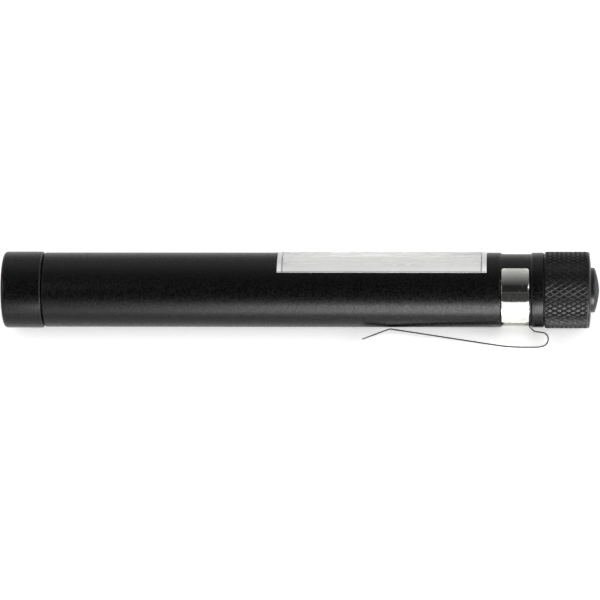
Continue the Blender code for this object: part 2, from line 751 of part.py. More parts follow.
def build_barrel(root):
    """Make the barrel tube, with its groove, window cut, two threads and ring seats."""
    chamfer = BARREL_CHAMFER
    ring_floor = spigot_radius - (2 * (RING_SECTION + RING_GAP) - (head_bore - spigot_radius))
    shoulder = flange_front - SEAT_GAP
    relief = neck_front - THREAD_RELIEF
    profile = [
        (spigot_front, spigot_bore),
        (spigot_front, spigot_radius - chamfer),
        (spigot_front + chamfer, spigot_radius),
        (head_ring_back - RING_SEAT, spigot_radius),
        (head_ring_back - RING_SEAT, ring_floor),
        (head_ring_back, ring_floor),
        (head_ring_back, spigot_radius),
        (barrel_front, spigot_radius),
        (barrel_front, BARREL_RADIUS - chamfer),
        (barrel_front + chamfer, BARREL_RADIUS),
        *shoulder_profile(),
        (groove_back, groove_floor),
        (groove_back, BARREL_RADIUS - chamfer),
        (groove_back + chamfer, BARREL_RADIUS),
        (barrel_back - chamfer, BARREL_RADIUS),
        (barrel_back, BARREL_RADIUS - chamfer),
        (barrel_back, ring_mouth),
        (ring_mouth_front, ring_mouth),
        (ring_mouth_front, tail_bore),
        (relief, tail_bore),
        (relief - THREAD_HEIGHT, barrel_bore),
        (shoulder, barrel_bore),
        (shoulder, spigot_bore),
    ]
    barrel = turned("barrel_tube", profile)
    place(barrel, root)

    milling = box("window_milling", (WINDOW_LENGTH, 3 * BARREL_RADIUS, 2 * BARREL_RADIUS))
    window_middle = (window_front + window_back) / 2
    place(milling, root, (window_middle, 0.0, window_flat + BARREL_RADIUS))
    boolean(barrel, milling, "DIFFERENCE")
    spigot_rib = thread("spigot_thread", head_thread_start, spigot_radius, True)
    place(spigot_rib, root)
    boolean(barrel, spigot_rib, "UNION")
    tail_rib = thread("barrel_thread", tail_thread_start - THREAD_PITCH / 2, tail_bore, False)
    place(tail_rib, root)
    boolean(barrel, tail_rib, "UNION")
    finish(barrel, (0.012, 0.012, 0.013), 0.38, 0.6)

    ring = o_ring("head_o_ring", (ring_floor + head_bore) / 2, RING_SECTION)
    place(ring, root, (head_ring_back - RING_SEAT / 2, 0.0, 0.0))
    finish(ring, (0.02, 0.02, 0.02), 0.7)


def build_window(root):
    """Make the tray, the strip light on its board, its wires and the clear cover."""
    window_middle = (window_front + window_back) / 2
    tray_front = window_front - TRAY_TUCK
    tray_back = window_back + TRAY_TUCK
    tray_room = barrel_bore - FIT_GAP
    low = math.sqrt(tray_room**2 - tray_bottom**2)
    high = math.sqrt(tray_room**2 - tray_top**2)
    outline = [(-low, tray_bottom), (low, tray_bottom), (high, tray_top), (-high, tray_top)]
    tray = lofted("window_tray", [(0.0, outline), (tray_back - tray_front, outline)])
    place(tray, root, (tray_front, 0.0, 0.0))
    notch_length = 2 * (strip_board_front - tray_front)
    notch = box("tray_notch", (notch_length, TRAY_NOTCH_WIDTH, 4 * TRAY_THICKNESS))
    place(notch, root, (tray_front, 0.0, (tray_bottom + tray_top) / 2))
    boolean(tray, notch, "DIFFERENCE")
    finish(tray, (0.8, 0.8, 0.78), 0.45)

    board = box("cob_board", (STRIP_BOARD_LENGTH, STRIP_BOARD_WIDTH, STRIP_BOARD_HEIGHT))
    place(board, root, (window_middle, 0.0, strip_board_bottom + STRIP_BOARD_HEIGHT / 2))
    finish(board, (0.82, 0.82, 0.8), 0.4)
    strip = box("cob_strip", (STRIP_LENGTH, STRIP_WIDTH, STRIP_HEIGHT), STRIP_HEIGHT / 4)
    place(strip, root, (window_middle, 0.0, strip_bottom + STRIP_HEIGHT / 2))
    finish(strip, (0.85, 0.7, 0.12), 0.4)

    wire_front = driver_back + SEAT_GAP
    wire_back = strip_board_front - SEAT_GAP
    for name, side, color in (
        ("wire_red", 1.0, (0.55, 0.02, 0.02)),
        ("wire_black", -1.0, (0.02, 0.02, 0.02)),
    ):
        points = [(0.0, 0.0, 0.0)]
        for i in range(7):
            share = i / 6
            rise = (wire_end_z - wire_z) * share * share * (3.0 - 2.0 * share)
            x = wire_back - WIRE_RISE_LENGTH * (1.0 - share) - wire_front
            points.append((x, 0.0, rise))
        wire = wire_curve(name, points, WIRE_RADIUS, 2)
        place(wire, root, (wire_front, side * WIRE_SPACING / 2, wire_z))
        finish(wire, color, 0.45)

    cover_radius = BARREL_RADIUS + COVER_PROUD
    cover_front = window_front + FIT_GAP
    cover_length = WINDOW_LENGTH - 2 * FIT_GAP
    full = segment_outline(cover_radius, cover_bottom)
    ends = segment_outline(cover_radius - COVER_EDGE, cover_bottom)
    cover = lofted(
        "window_cover",
        [
            (0.0, ends),
            (COVER_EDGE, full),
            (cover_length - COVER_EDGE, full),
            (cover_length, ends),
        ],
    )
    place(cover, root, (cover_front, 0.0, 0.0))
    hollow_outline = segment_outline(cover_radius - COVER_WALL, cover_bottom)
    side = hollow_outline[0][0]
    below = cover_bottom - COVER_WALL
    hollow_outline = [(side, below)] + hollow_outline + [(-side, below)]
    hollow_length = cover_length - 2 * (COVER_END_WALL - FIT_GAP)
    hollow = lofted("cover_hollow", [(0.0, hollow_outline), (hollow_length, hollow_outline)])
    place(hollow, root, (cover_front + COVER_END_WALL - FIT_GAP, 0.0, 0.0))
    boolean(cover, hollow, "DIFFERENCE")
    finish(cover, (0.85, 0.87, 0.87), 0.08, 0.0, 0.9)


def build_clip(root):
    """Make the clip's two halves, which the U bend joins."""
    band_axis = axis_empty("band_axis", root, (band_middle, 0.0, 0.0))
    side_x, side_depth = bend_side()
    pivot = (side_x - BEND_LOWER_RADIUS, 0.0, -side_depth)
    arm_axis = axis_empty("clip_arm_axis", band_axis, pivot)

    # The band, unrolled as (angle from its middle, x), with the neck's columns at its centre.
    half = BAND_WIDTH / 2
    neck_half_angle = math.degrees(math.asin(CLIP_WIDTH / 2 / band_radius))
    corner_angle = math.degrees(BAND_CORNER / band_radius)
    outer_angles = []
    for i in range(9):
        first = BAND_END_ANGLE - corner_angle
        outer_angles.append((neck_half_angle + (first - neck_half_angle) * (i + 1) / 9, 0.0))
    for i in range(1, 4):
        swing = math.radians(90.0 * i / 3)
        angle = BAND_END_ANGLE - corner_angle * (1.0 - math.sin(swing))
        outer_angles.append((angle, BAND_CORNER * (1.0 - math.cos(swing))))
    middle_angles = [(neck_half_angle * (i - 2) / 2, 0.0) for i in range(5)]
    columns = [(-a, cut) for a, cut in outer_angles[::-1]] + middle_angles + outer_angles
    rows = []
    for angle, cut in columns:
        swing = math.radians(angle)
        y = band_radius * math.sin(swing)
        z = -band_radius * math.cos(swing)
        rows.append([(x, y, z) for x in (-half + cut, half - cut)])
    bm = sheet(rows)
    bm.verts.ensure_lookup_table()

    # The neck goes on from the middle of the band's back edge, curved at first, then flat.
    path = neck_path()
    first_neck = len(outer_angles)
    edge = [bm.verts[2 * (first_neck + i) + 1] for i in range(5)]
    count = len(path.points) - 1
    for k in range(1, count + 1):
        x, depth = path.points[k]
        curl = max(0.0, 1.0 - k / 7)
        row = []
        for angle, _ in middle_angles:
            swing = math.radians(angle)
            y = CLIP_WIDTH / 2 * angle / neck_half_angle
            y += (band_radius * math.sin(swing) - y) * curl
            sag = band_radius * (1.0 - math.cos(swing)) * curl
            row.append(bm.verts.new((x - band_middle, y, sag - depth)))
        for i in range(4):
            bm.faces.new((edge[i], edge[i + 1], row[i + 1], row[i]))
        edge = row
    band = mesh_object("clip_band", bm, 50.0)
    place(band, band_axis, (band_middle, 0.0, 0.0))
    thicken(band)
    finish(band, (0.75, 0.75, 0.74), 0.12, 1.0)

    # The arm, from the other side of the slit to its rounded tip.
    path = arm_path(arm_lean())
    tip_x, tip_depth = path.points[-1]
    rows = []
    for x, depth in path.points:
        left = math.hypot(x - tip_x, depth - tip_depth)
        cut = 0.0
        if left < ARM_TIP_CORNER:
            cut = ARM_TIP_CORNER - math.sqrt(ARM_TIP_CORNER**2 - (ARM_TIP_CORNER - left) ** 2)
        reach = CLIP_WIDTH / 2 - cut
        rows.append([(x - pivot[0], reach * (i - 2) / 2, -depth - pivot[2]) for i in range(5)])
    arm = mesh_object("clip_arm", sheet(rows), 50.0)
    place(arm, arm_axis, pivot)
    thicken(arm)
    finish(arm, (0.75, 0.75, 0.74), 0.15, 1.0)
    return max(depth for x, depth in path.points) + CLIP_THICKNESS / 2


def build_switch(root):
    """Make the switch insert, its sprung plunger and the rubber button over it."""
    insert_axis = axis_empty("insert_axis", root, (switch_board_front, 0.0, 0.0))
    button_axis = axis_empty("button_axis", insert_axis, (button_front, 0.0, 0.0))

    coil_length = SPRING_HEIGHT - 2 * SPRING_WIRE
    points = coil_points(coil_length, SPRING_TIP, SPRING_FOOT, SPRING_TURNS)
    spring = wire_curve("tail_spring", points, SPRING_WIRE, 1)
    place(spring, insert_axis, (spring_front + SPRING_WIRE, 0.0, 0.0))
    finish(spring, (0.8, 0.66, 0.35), 0.3, 1.0)

    board = disc("switch_board", SWITCH_BOARD, inner_radius)
    place(board, insert_axis, (switch_board_front, 0.0, 0.0))
    finish(board, (0.03, 0.18, 0.08), 0.5)

    spacer = tube("switch_spacer", SPACER_LENGTH, inner_radius - SPACER_WALL, inner_radius, 36)
    place(spacer, insert_axis, (spacer_front, 0.0, 0.0))
    finish(spacer, (0.05, 0.05, 0.05), 0.5)

    housing = box("switch_housing", (HOUSING_LENGTH, HOUSING_SIDE, HOUSING_SIDE), HOUSING_EDGE)
    place(housing, insert_axis, (spacer_front + HOUSING_LENGTH / 2, 0.0, 0.0))
    stem_front = plunger_front - PLUNGER_STEM_DEPTH
    hole_front = stem_front - PLUNGER_STROKE - SEAT_GAP
    hole = disc("stem_hole", HOUSING_LENGTH, PLUNGER_STEM + FIT_GAP, 0.0, 16)
    place(hole, insert_axis, (hole_front, 0.0, 0.0))
    boolean(housing, hole, "DIFFERENCE")
    finish(housing, (0.02, 0.02, 0.02), 0.4)

    head_radius_inner = button_bore - FIT_GAP
    well_radius = head_radius_inner - PLUNGER_SKIRT
    plunger_profile = [
        (stem_front, 0.0),
        (stem_front, PLUNGER_STEM),
        (plunger_front + PLUNGER_WELL, PLUNGER_STEM),
        (plunger_front + PLUNGER_WELL, well_radius),
        (plunger_front, well_radius),
        (plunger_front, head_radius_inner),
        (plunger_back - PLUNGER_CROWN / 2, head_radius_inner),
        (plunger_back, head_radius_inner - PLUNGER_CROWN),
        (plunger_back + PLUNGER_CROWN, 0.0),
    ]
    plunger = turned("switch_plunger", [(x - button_front, r) for x, r in plunger_profile], 24)
    place(plunger, button_axis, (button_front, 0.0, 0.0))
    finish(plunger, (0.75, 0.75, 0.73), 0.45)

    spring_room = plunger_front + PLUNGER_WELL - housing_back - 2 * SEAT_GAP
    coil_radius = (PLUNGER_STEM + well_radius) / 2
    coil_length = spring_room - 2 * PLUNGER_SPRING_WIRE
    points = coil_points(coil_length, coil_radius, coil_radius, PLUNGER_SPRING_TURNS)
    coil = wire_curve("plunger_spring", points, PLUNGER_SPRING_WIRE, 1)
    place(coil, button_axis, (housing_back + SEAT_GAP + PLUNGER_SPRING_WIRE, 0.0, 0.0))
    finish(coil, (0.7, 0.7, 0.7), 0.3, 1.0)

    edge = arc(
        button_side_back - BUTTON_EDGE, BUTTON_RADIUS - BUTTON_EDGE, BUTTON_EDGE, 90.0, 20.0, 3
    )
    crown = [
        (button_side_back + BUTTON_CROWN * (1.0 - share**1.6), BUTTON_RADIUS * 0.93 * share)
        for share in (0.8, 0.6, 0.4, 0.2)
    ]
    boot_profile = [
        (button_side_back - BUTTON_TOP + BUTTON_CROWN, 0.0),
        (button_side_back - BUTTON_TOP, button_bore - BUTTON_EDGE),
        (button_side_back - BUTTON_TOP - BUTTON_EDGE, button_bore),
        (button_front, button_bore),
        (button_front, inner_radius),
        (button_front + BUTTON_FLANGE, inner_radius),
        (button_front + BUTTON_FLANGE, BUTTON_RADIUS),
        *edge,
        *crown,
        (button_back, 0.0),
    ]
    boot = turned("switch_boot", [(x - button_front, r) for x, r in boot_profile], 28, 40.0)
    place(boot, button_axis, (button_front, 0.0, 0.0))
    finish(boot, (0.015, 0.015, 0.015), 0.5)
    return insert_axis


def knurled_band(bm, start, length, columns):
    """Add an open band of pyramid knurling, and return its two edge loops of vertices."""
    valley = cap_radius - KNURL_DEPTH
    grid = []
    for j in range(KNURL_ROWS + 1):
        row = []
        for i in range(columns):
            peak = (i + j) % 2 == 1 and 0 < j < KNURL_ROWS
            radius = cap_radius if peak else valley
            angle = math.tau * i / columns
            x = start + length * j / KNURL_ROWS
            row.append(bm.verts.new((x, -radius * math.sin(angle), radius * math.cos(angle))))
        grid.append(row)
    for j in range(KNURL_ROWS):
        for i in range(columns):
            k = (i + 1) % columns
            a, b, c, d = grid[j][i], grid[j][k], grid[j + 1][k], grid[j + 1][i]
            if (i + j) % 2 == 0:
                bm.faces.new((a, b, c))
                bm.faces.new((a, c, d))
            else:
                bm.faces.new((a, b, d))
                bm.faces.new((b, c, d))
    return grid[0], grid[-1]


def loop_edges(verts):
    """Return the edges that join a closed loop of vertices."""
    found = []
    for i, vert in enumerate(verts):
        following = verts[(i + 1) % len(verts)]
        found += [edge for edge in vert.link_edges if following in edge.verts]
    return found


def build_tail_cap(insert_axis):
    """Make the knurled tail cap with its threaded neck, its seal and the switch's retainer."""
    cap_axis = axis_empty("cap_axis", insert_axis, (cap_front, 0.0, 0.0))
    knurl_front = cap_front + CAP_CHAMFER
    knurl_back = cap_back - CAP_LIP
    valley = cap_radius - KNURL_DEPTH
    bm = bmesh.new()
    corner = arc(cap_back - CAP_EDGE, cap_radius - CAP_EDGE, CAP_EDGE, 90.0, 0.0, 3)
    profile = [
        (knurl_back + KNURL_DEPTH / 3, valley + KNURL_DEPTH / 2),
        (knurl_back + KNURL_DEPTH / 2, cap_radius - KNURL_DEPTH / 10),
        *corner[1:],
        (cone_back, cap_hole + FIT_GAP),
        (cone_back - FIT_GAP, cap_hole),
        (cap_wall_front, cap_hole),
        (cap_wall_front, cap_bore),
        (neck_front, cap_bore),
        (neck_front, neck_radius - BARREL_CHAMFER),
        (neck_front + BARREL_CHAMFER, neck_radius),
        (cap_front, neck_radius),
        (cap_front, cap_radius - CAP_CHAMFER),
        (knurl_front - KNURL_DEPTH / 3, valley + KNURL_DEPTH / 4),
    ]
    verts = [bm.verts.new((x, 0.0, r)) for x, r in profile]
    edges = [bm.edges.new(pair) for pair in zip(verts, verts[1:])]
    bmesh.ops.spin(
        bm,
        geom=verts + edges,
        cent=(0.0, 0.0, 0.0),
        axis=(1.0, 0.0, 0.0),
        angle=math.tau,
        steps=KNURL_STARTS,
        use_merge=True,
    )
    bmesh.ops.remove_doubles(bm, verts=bm.verts, dist=1e-7)
    open_edges = [edge for edge in bm.edges if len(edge.link_faces) == 1]
    split = (knurl_front + knurl_back) / 2
    plain_front = [edge for edge in open_edges if edge.verts[0].co.x < split]
    plain_back = [edge for edge in open_edges if edge.verts[0].co.x >= split]
    length = knurl_back - knurl_front
    front, back = knurled_band(bm, knurl_front, length, 2 * KNURL_STARTS)
    bmesh.ops.bridge_loops(bm, edges=plain_front + loop_edges(front))
    bmesh.ops.bridge_loops(bm, edges=plain_back + loop_edges(back))
    cap = mesh_object("tail_cap", bm, 25.0)
    place(cap, cap_axis, (0.0, 0.0, 0.0))
    rib = thread("cap_thread", tail_thread_start, neck_radius, True)
    place(rib, cap_axis, (0.0, 0.0, 0.0))
    boolean(cap, rib, "UNION")
    finish(cap, (0.012, 0.012, 0.013), 0.38, 0.6)

    ring = o_ring("tail_o_ring", (neck_radius + ring_mouth) / 2, RING_SECTION)
    place(ring, cap_axis, (ring_mouth_front + RING_SEAT / 2 + SEAM / 2, 0.0, 0.0))
    finish(ring, (0.02, 0.02, 0.02), 0.7)

    retainer_front = switch_board_front - SEAT_GAP - RETAINER_LENGTH
    retainer = tube(
        "switch_retainer", RETAINER_LENGTH, inner_radius - RETAINER_WALL, inner_radius, 36
    )
    place(retainer, cap_axis, (retainer_front, 0.0, 0.0))
    finish(retainer, (0.6, 0.6, 0.6), 0.35, 1.0)


def main():
    """Build the light and lay it on its side."""
    clear_scene()
    root = bpy.data.objects.new("work_light", None)
    root.empty_display_size = 0.02
    bpy.context.scene.collection.objects.link(root)
    build_head(root)
    build_lamp(root)
    build_cells(root)
    build_barrel(root)
    build_window(root)
    clip_depth = build_clip(root)
    insert_axis = build_switch(root)
    build_tail_cap(insert_axis)
    lie_on_side(root, clip_depth)
    bpy.context.view_layer.update()


main()
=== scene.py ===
import logging
import math
from dataclasses import dataclass
from enum import Enum
from functools import reduce

import bmesh
import bpy
import numpy as np
from mathutils import Matrix, Vector


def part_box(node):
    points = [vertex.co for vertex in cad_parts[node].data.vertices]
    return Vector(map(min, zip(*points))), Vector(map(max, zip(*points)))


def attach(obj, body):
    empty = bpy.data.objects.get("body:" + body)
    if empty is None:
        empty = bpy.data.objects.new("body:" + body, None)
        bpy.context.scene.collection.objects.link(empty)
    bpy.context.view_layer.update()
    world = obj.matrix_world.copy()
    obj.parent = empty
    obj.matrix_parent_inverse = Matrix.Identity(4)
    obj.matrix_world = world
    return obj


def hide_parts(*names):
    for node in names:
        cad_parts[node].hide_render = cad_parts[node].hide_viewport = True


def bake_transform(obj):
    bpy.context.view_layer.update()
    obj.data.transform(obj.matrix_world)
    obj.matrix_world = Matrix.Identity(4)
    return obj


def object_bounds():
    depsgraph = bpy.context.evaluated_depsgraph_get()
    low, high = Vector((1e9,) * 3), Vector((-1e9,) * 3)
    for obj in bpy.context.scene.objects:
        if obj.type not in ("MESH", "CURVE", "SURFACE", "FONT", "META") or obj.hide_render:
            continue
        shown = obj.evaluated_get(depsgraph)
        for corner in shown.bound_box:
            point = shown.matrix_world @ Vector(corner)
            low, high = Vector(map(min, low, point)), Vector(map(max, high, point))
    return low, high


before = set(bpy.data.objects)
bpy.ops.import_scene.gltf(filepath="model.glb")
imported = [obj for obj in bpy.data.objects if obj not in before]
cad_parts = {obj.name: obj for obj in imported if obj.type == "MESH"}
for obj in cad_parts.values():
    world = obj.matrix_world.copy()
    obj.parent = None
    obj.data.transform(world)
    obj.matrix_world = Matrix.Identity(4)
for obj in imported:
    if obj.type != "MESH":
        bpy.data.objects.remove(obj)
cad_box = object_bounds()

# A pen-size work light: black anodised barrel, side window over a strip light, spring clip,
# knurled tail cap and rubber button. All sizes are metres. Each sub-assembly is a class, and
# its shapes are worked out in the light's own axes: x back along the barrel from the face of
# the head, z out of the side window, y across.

Array = np.ndarray
Socket = bpy.types.NodeSocket
Color = tuple[float, float, float]
log = logging.getLogger("work_light")

# Points closer than MERGE become one point, and points of a profile are level within LEVEL.
MERGE = 2e-7
LEVEL = 1e-9
# How far the edges of turned parts and of boards are broken.
BROKEN = 0.00006
# What new points on a side of a profile keep from its corners.
MARGIN = 0.0001


# ---- Axes, skins and outlines


@dataclass(frozen=True)
class LightAxes:
    """The light's own axes in the row frame: x runs back along the barrel, z out of the window."""

    origin: Array
    across: Array
    out: Array

    @classmethod
    def of_frame(cls) -> "LightAxes":
        """Find the axes from the boxes of the head and of the strip light's board.

        Returns:
            The axes, with their origin at the middle of the head's face.
        """
        low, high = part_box("bezel")
        origin = np.array([low.x, (low.y + high.y) / 2, (low.z + high.z) / 2])
        low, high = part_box("cob_board")
        out = np.array([0.0, (low.y + high.y) / 2 - origin[1], (low.z + high.z) / 2 - origin[2]])
        out /= np.linalg.norm(out)
        return cls(origin, np.cross(out, (1.0, 0.0, 0.0)), out)

    @property
    def lean(self) -> float:
        """Turn of the light's own axes about the barrel, in radians."""
        return math.atan2(self.across[2], self.across[1])

    def place(self, points: Array) -> Array:
        """Carry points from the light's own axes to the row frame.

        Args:
            points: Points, with x, y and z last.

        Returns:
            The points in the row frame: origin + x ex + y across + z out.
        """
        basis = np.array([(1.0, 0.0, 0.0), self.across, self.out])
        return self.origin + np.asarray(points, float) @ basis

    def point(self, x: float, y: float = 0.0, z: float = 0.0) -> tuple[float, float, float]:
        """Carry one point to the row frame."""
        return tuple(self.place(np.array([x, y, z])))


def grid_faces(rows: int, columns: int, around: bool) -> Array:
    """List the quads of a grid of points that are numbered row by row.

    Args:
        rows: Number of rows.
        columns: Number of points in a row.
        around: Whether the last column joins the first.

    Returns:
        Four point numbers for each quad.
    """
    i = np.arange(rows - 1)[:, None]
    j = np.arange(columns if around else columns - 1)[None, :]
    k = (j + 1) % columns
    quads = (i * columns + j, i * columns + k, (i + 1) * columns + k, (i + 1) * columns + j)
    return np.stack(quads, -1).reshape(-1, 4)


class Skin:
    """A surface gathered from patches of points in the light's own axes."""

    def __init__(self) -> None:
        """Start with no patch."""
        self.points: list[Array] = []
        self.faces: list[Array] = []
        self.count = 0

    def add(self, points: Array, *faces: Array | list) -> "Skin":
        """Add points and the faces between them.

        Args:
            points: Points, with x, y and z last.
            faces: Point numbers, triangles and quads each in a table of their own.

        Returns:
            The skin itself.
        """
        flat = np.asarray(points, float).reshape(-1, 3)
        self.points.append(flat)
        self.faces += [np.asarray(table, int) + self.count for table in faces]
        self.count += len(flat)
        return self

    def grid(self, points: Array, around: bool = False) -> "Skin":
        """Add a grid of points (rows, columns, 3) as quads."""
        rows, columns = points.shape[:2]
        return self.add(points, grid_faces(rows, columns, around))

    def relief_grid(self, points: Array, depth: Array) -> "Skin":
        """Add a grid that closes on itself as triangles, split along its deeper diagonals.

        Args:
            points: Grid of points (rows, columns, 3).
            depth: Height of each point, (rows, columns).

        Returns:
            The skin itself.
        """
        rows, columns = depth.shape
        quads = grid_faces(rows, columns, True)
        height = depth.ravel()[quads]
        first = (height[:, 0] + height[:, 2] <= height[:, 1] + height[:, 3])[:, None]
        one = np.where(first, quads[:, [0, 1, 2]], quads[:, [0, 1, 3]])
        two = np.where(first, quads[:, [0, 2, 3]], quads[:, [1, 2, 3]])
        return self.add(points, np.concatenate([one, two]))

    def build(self, name: str, axes: LightAxes, sharp: float = 32.0) -> bpy.types.Object:
        """Join the patches where they meet, and make them an object.

        Args:
            name: Name of the object.
            axes: The light's own axes.
            sharp: Angle in degrees past which an edge is drawn sharp.

        Returns:
            The object, at the origin, with its place in its mesh.
        """
        mesh = bpy.data.meshes.new(name)
        points = axes.place(np.concatenate(self.points))
        corners = np.concatenate([faces.ravel() for faces in self.faces])
        sizes = np.concatenate([np.full(len(faces), faces.shape[1]) for faces in self.faces])
        mesh.vertices.add(len(points))
        mesh.vertices.foreach_set("co", points.ravel())
        mesh.loops.add(len(corners))
        mesh.loops.foreach_set("vertex_index", corners)
        mesh.polygons.add(len(sizes))
        mesh.polygons.foreach_set("loop_start", np.cumsum(sizes) - sizes)
        mesh.update(calc_edges=True)
        bm = bmesh.new()
        bm.from_mesh(mesh)
        bmesh.ops.remove_doubles(bm, verts=bm.verts, dist=MERGE)
        bmesh.ops.recalc_face_normals(bm, faces=bm.faces)
        bm.to_mesh(mesh)
        bm.free()
        mesh.shade_smooth()
        mesh.set_sharp_from_angle(angle=math.radians(sharp))
        obj = bpy.data.objects.new(name, mesh)
        bpy.context.scene.collection.objects.link(obj)
        return obj


def eased(profile: Array, reach: float, steps: int = 3, closed: bool = True) -> Array:
    """Ease each corner of a profile with a parabola that leaves its sides `reach` away.

    Args:
        profile: Corners, with x and r first.
        reach: How far from a corner the curve starts, at most 0.45 of the side.
        steps: Steps of each curve.
        closed: Whether the last corner joins the first.

    Returns:
        The eased profile: (1-t)^2 start + 2t(1-t) corner + t^2 end, corner by corner.
    """
    profile = np.asarray(profile, float)
    back = np.roll(profile, 1, 0) - profile
    ahead = np.roll(profile, -1, 0) - profile
    t = np.linspace(0.0, 1.0, steps + 1)[None, :, None]

    def step_off(side: Array) -> Array:
        """Go along a side by `reach`."""
        length = np.maximum(np.hypot(side[:, 0], side[:, 1]), 1e-12)
        return profile + side * np.minimum(reach / length, 0.45)[:, None]

    start, end = step_off(back)[:, None], step_off(ahead)[:, None]
    curves = (1 - t) ** 2 * start + 2 * t * (1 - t) * profile[:, None] + t**2 * end
    if closed:
        return curves.reshape(-1, profile.shape[1])
    inner = curves[1:-1].reshape(-1, profile.shape[1])
    return np.concatenate([profile[:1], inner, profile[-1:]])


def refined(profile: Array, radius: float, first: float, last: float, count: int) -> Array:
    """Split the side of a profile that runs along the axis at a radius, between two stations.

    Args:
        profile: Profile with x and r first.
        radius: Radius of the side.
        first: Station of the foremost new point.
        last: Station of the hindmost new point.
        count: Number of new points, evenly spaced.

    Returns:
        The profile with the new points in it.
    """
    ahead = np.roll(profile, -1, 0)
    level = np.maximum(np.abs(profile[:, 1] - radius), np.abs(ahead[:, 1] - radius)) < LEVEL
    low = np.minimum(profile[:, 0], ahead[:, 0])
    high = np.maximum(profile[:, 0], ahead[:, 0])
    spans = level & (low <= first + LEVEL) & (high >= last - LEVEL)
    side = int(np.flatnonzero(spans)[0])
    x = np.linspace(first, last, count)
    if ahead[side, 0] < profile[side, 0]:
        x = x[::-1]
    share = (x - profile[side, 0]) / (ahead[side, 0] - profile[side, 0])
    extra = profile[side] + share[:, None] * (ahead[side] - profile[side])
    return np.insert(profile, side + 1, extra, axis=0)


def arc(x: float, r: float, radius: float, start: float, end: float, steps: int) -> list:
    """List (x, r) points of an arc about a centre, between two angles in degrees."""
    angle = np.radians(np.linspace(start, end, steps + 1))
    return list(zip(x + radius * np.cos(angle), r + radius * np.sin(angle)))


def turned_grid(profile: Array, angle: Array, relief: Array | float = 0.0) -> Array:
    """Turn a profile about the barrel's axis.

    Args:
        profile: Profile with x and r first.
        angle: Angles about the axis, from the window's side: (columns) or (rows, columns).
        relief: What is added to the radius: (rows, columns).

    Returns:
        A grid of points: (x, -r sin a, r cos a).
    """
    x, r, angle = np.broadcast_arrays(profile[:, :1], profile[:, 1:2] + relief, angle)
    return np.stack([x, -r * np.sin(angle), r * np.cos(angle)], -1)


def full_turn(steps: int) -> Array:
    """Spread angles evenly over a full turn."""
    return math.tau * np.arange(steps) / steps


def turned_skin(profile: Array, steps: int = 128, closed: bool = True) -> Skin:
    """Turn a profile into a closed skin, which ends on the axis unless it is closed."""
    profile = np.asarray(profile, float)
    if closed:
        profile = np.concatenate([profile, profile[:1]])
    return Skin().grid(turned_grid(profile, full_turn(steps)), around=True)


def ring_skin(x: float, radius: float, section: float, steps: int = 96) -> Skin:
    """Make a ring of round section: a circle of radius `section`, turned at `radius`."""
    return turned_skin(np.array(arc(x, radius, section, 0.0, 345.0, 23)), steps)


def coil_skin(length: float, radii: tuple[float, float], wire: float, turns: float,
              start: float) -> Skin:
    """Wind a wire along the barrel's axis.

    The middle of the wire is (start + length t, R sin a, R cos a) with a = tau turns t, and
    its section is a circle across the middle line. Both ends close to a point.

    Args:
        length: Travel of the wire's middle.
        radii: Winding radius at the front and at the back.
        wire: Radius of the wire.
        turns: Number of turns.
        start: Station of the wire's middle at the front.

    Returns:
        The coil's skin.
    """
    t = np.linspace(0.0, 1.0, int(40 * turns) + 1)
    radius = radii[0] + (radii[1] - radii[0]) * t
    angle = math.tau * turns * t
    middle = np.stack([start + length * t, radius * np.sin(angle), radius * np.cos(angle)], -1)
    outward = np.stack([0 * t, np.sin(angle), np.cos(angle)], -1)
    along = np.gradient(middle, axis=0)
    along /= np.linalg.norm(along, axis=1)[:, None]
    side = np.cross(along, outward)
    swing = full_turn(12)[None, :, None]
    circle = outward[:, None] * np.cos(swing) + side[:, None] * np.sin(swing)
    points = middle[:, None] + wire * circle
    ends = [np.broadcast_to(middle[k], (1, 12, 3)) for k in (0, -1)]
    return Skin().grid(np.concatenate([ends[0], points, ends[1]]), around=True)


def rounded_rectangle(length: float, width: float, corner: float, steps: int = 8) -> Array:
    """Outline a rectangle with round corners about its middle, as (x, y) points."""
    swing = np.radians(np.linspace(0.0, 90.0, steps + 1))
    turns = np.concatenate([swing + math.pi / 2 * k for k in range(4)])
    sign_x = np.repeat([1, -1, -1, 1], steps + 1)
    sign_y = np.repeat([1, 1, -1, -1], steps + 1)
    x = sign_x * (length / 2 - corner) + corner * np.cos(turns)
    y = sign_y * (width / 2 - corner) + corner * np.sin(turns)
    return np.stack([x, y], -1)


def slab_skin(outline: Array, middle: float, levels: list[tuple[float, float]]) -> Skin:
    """Stack insets of an outline at given heights, and close both ends at its middle.

    Args:
        outline: Outline (x, y) about its own middle.
        middle: Station of its middle.
        levels: Height z and inset of each layer, from the bottom up.

    Returns:
        The slab's skin. An inset moves each point towards the middle along its own ray.
    """
    size = np.hypot(outline[:, 0], outline[:, 1])[:, None]
    layers = []
    for height, inset in [(levels[0][0], None), *levels, (levels[-1][0], None)]:
        ring = outline * 0.0 if inset is None else outline * (1.0 - inset / size)
        level = np.full(len(ring), height)
        layers.append(np.column_stack([ring[:, 0] + middle, ring[:, 1], level]))
    return Skin().grid(np.stack(layers), around=True)


def slab_levels(low: float, high: float, edge: float) -> list[tuple[float, float]]:
    """List the layers of a slab whose bottom and top edges are broken."""
    return [(low, edge), (low + edge, 0.0), (high - edge, 0.0), (high, edge)]


def round_edges(piece: bpy.types.Object, width: float, degrees: float) -> None:
    """Round the edges of a piece where its faces turn by more than an angle."""
    bevel = piece.modifiers.new("Rounded edges", "BEVEL")
    bevel.width = width
    bevel.segments = 2
    bevel.limit_method = "ANGLE"
    bevel.angle_limit = math.radians(degrees)


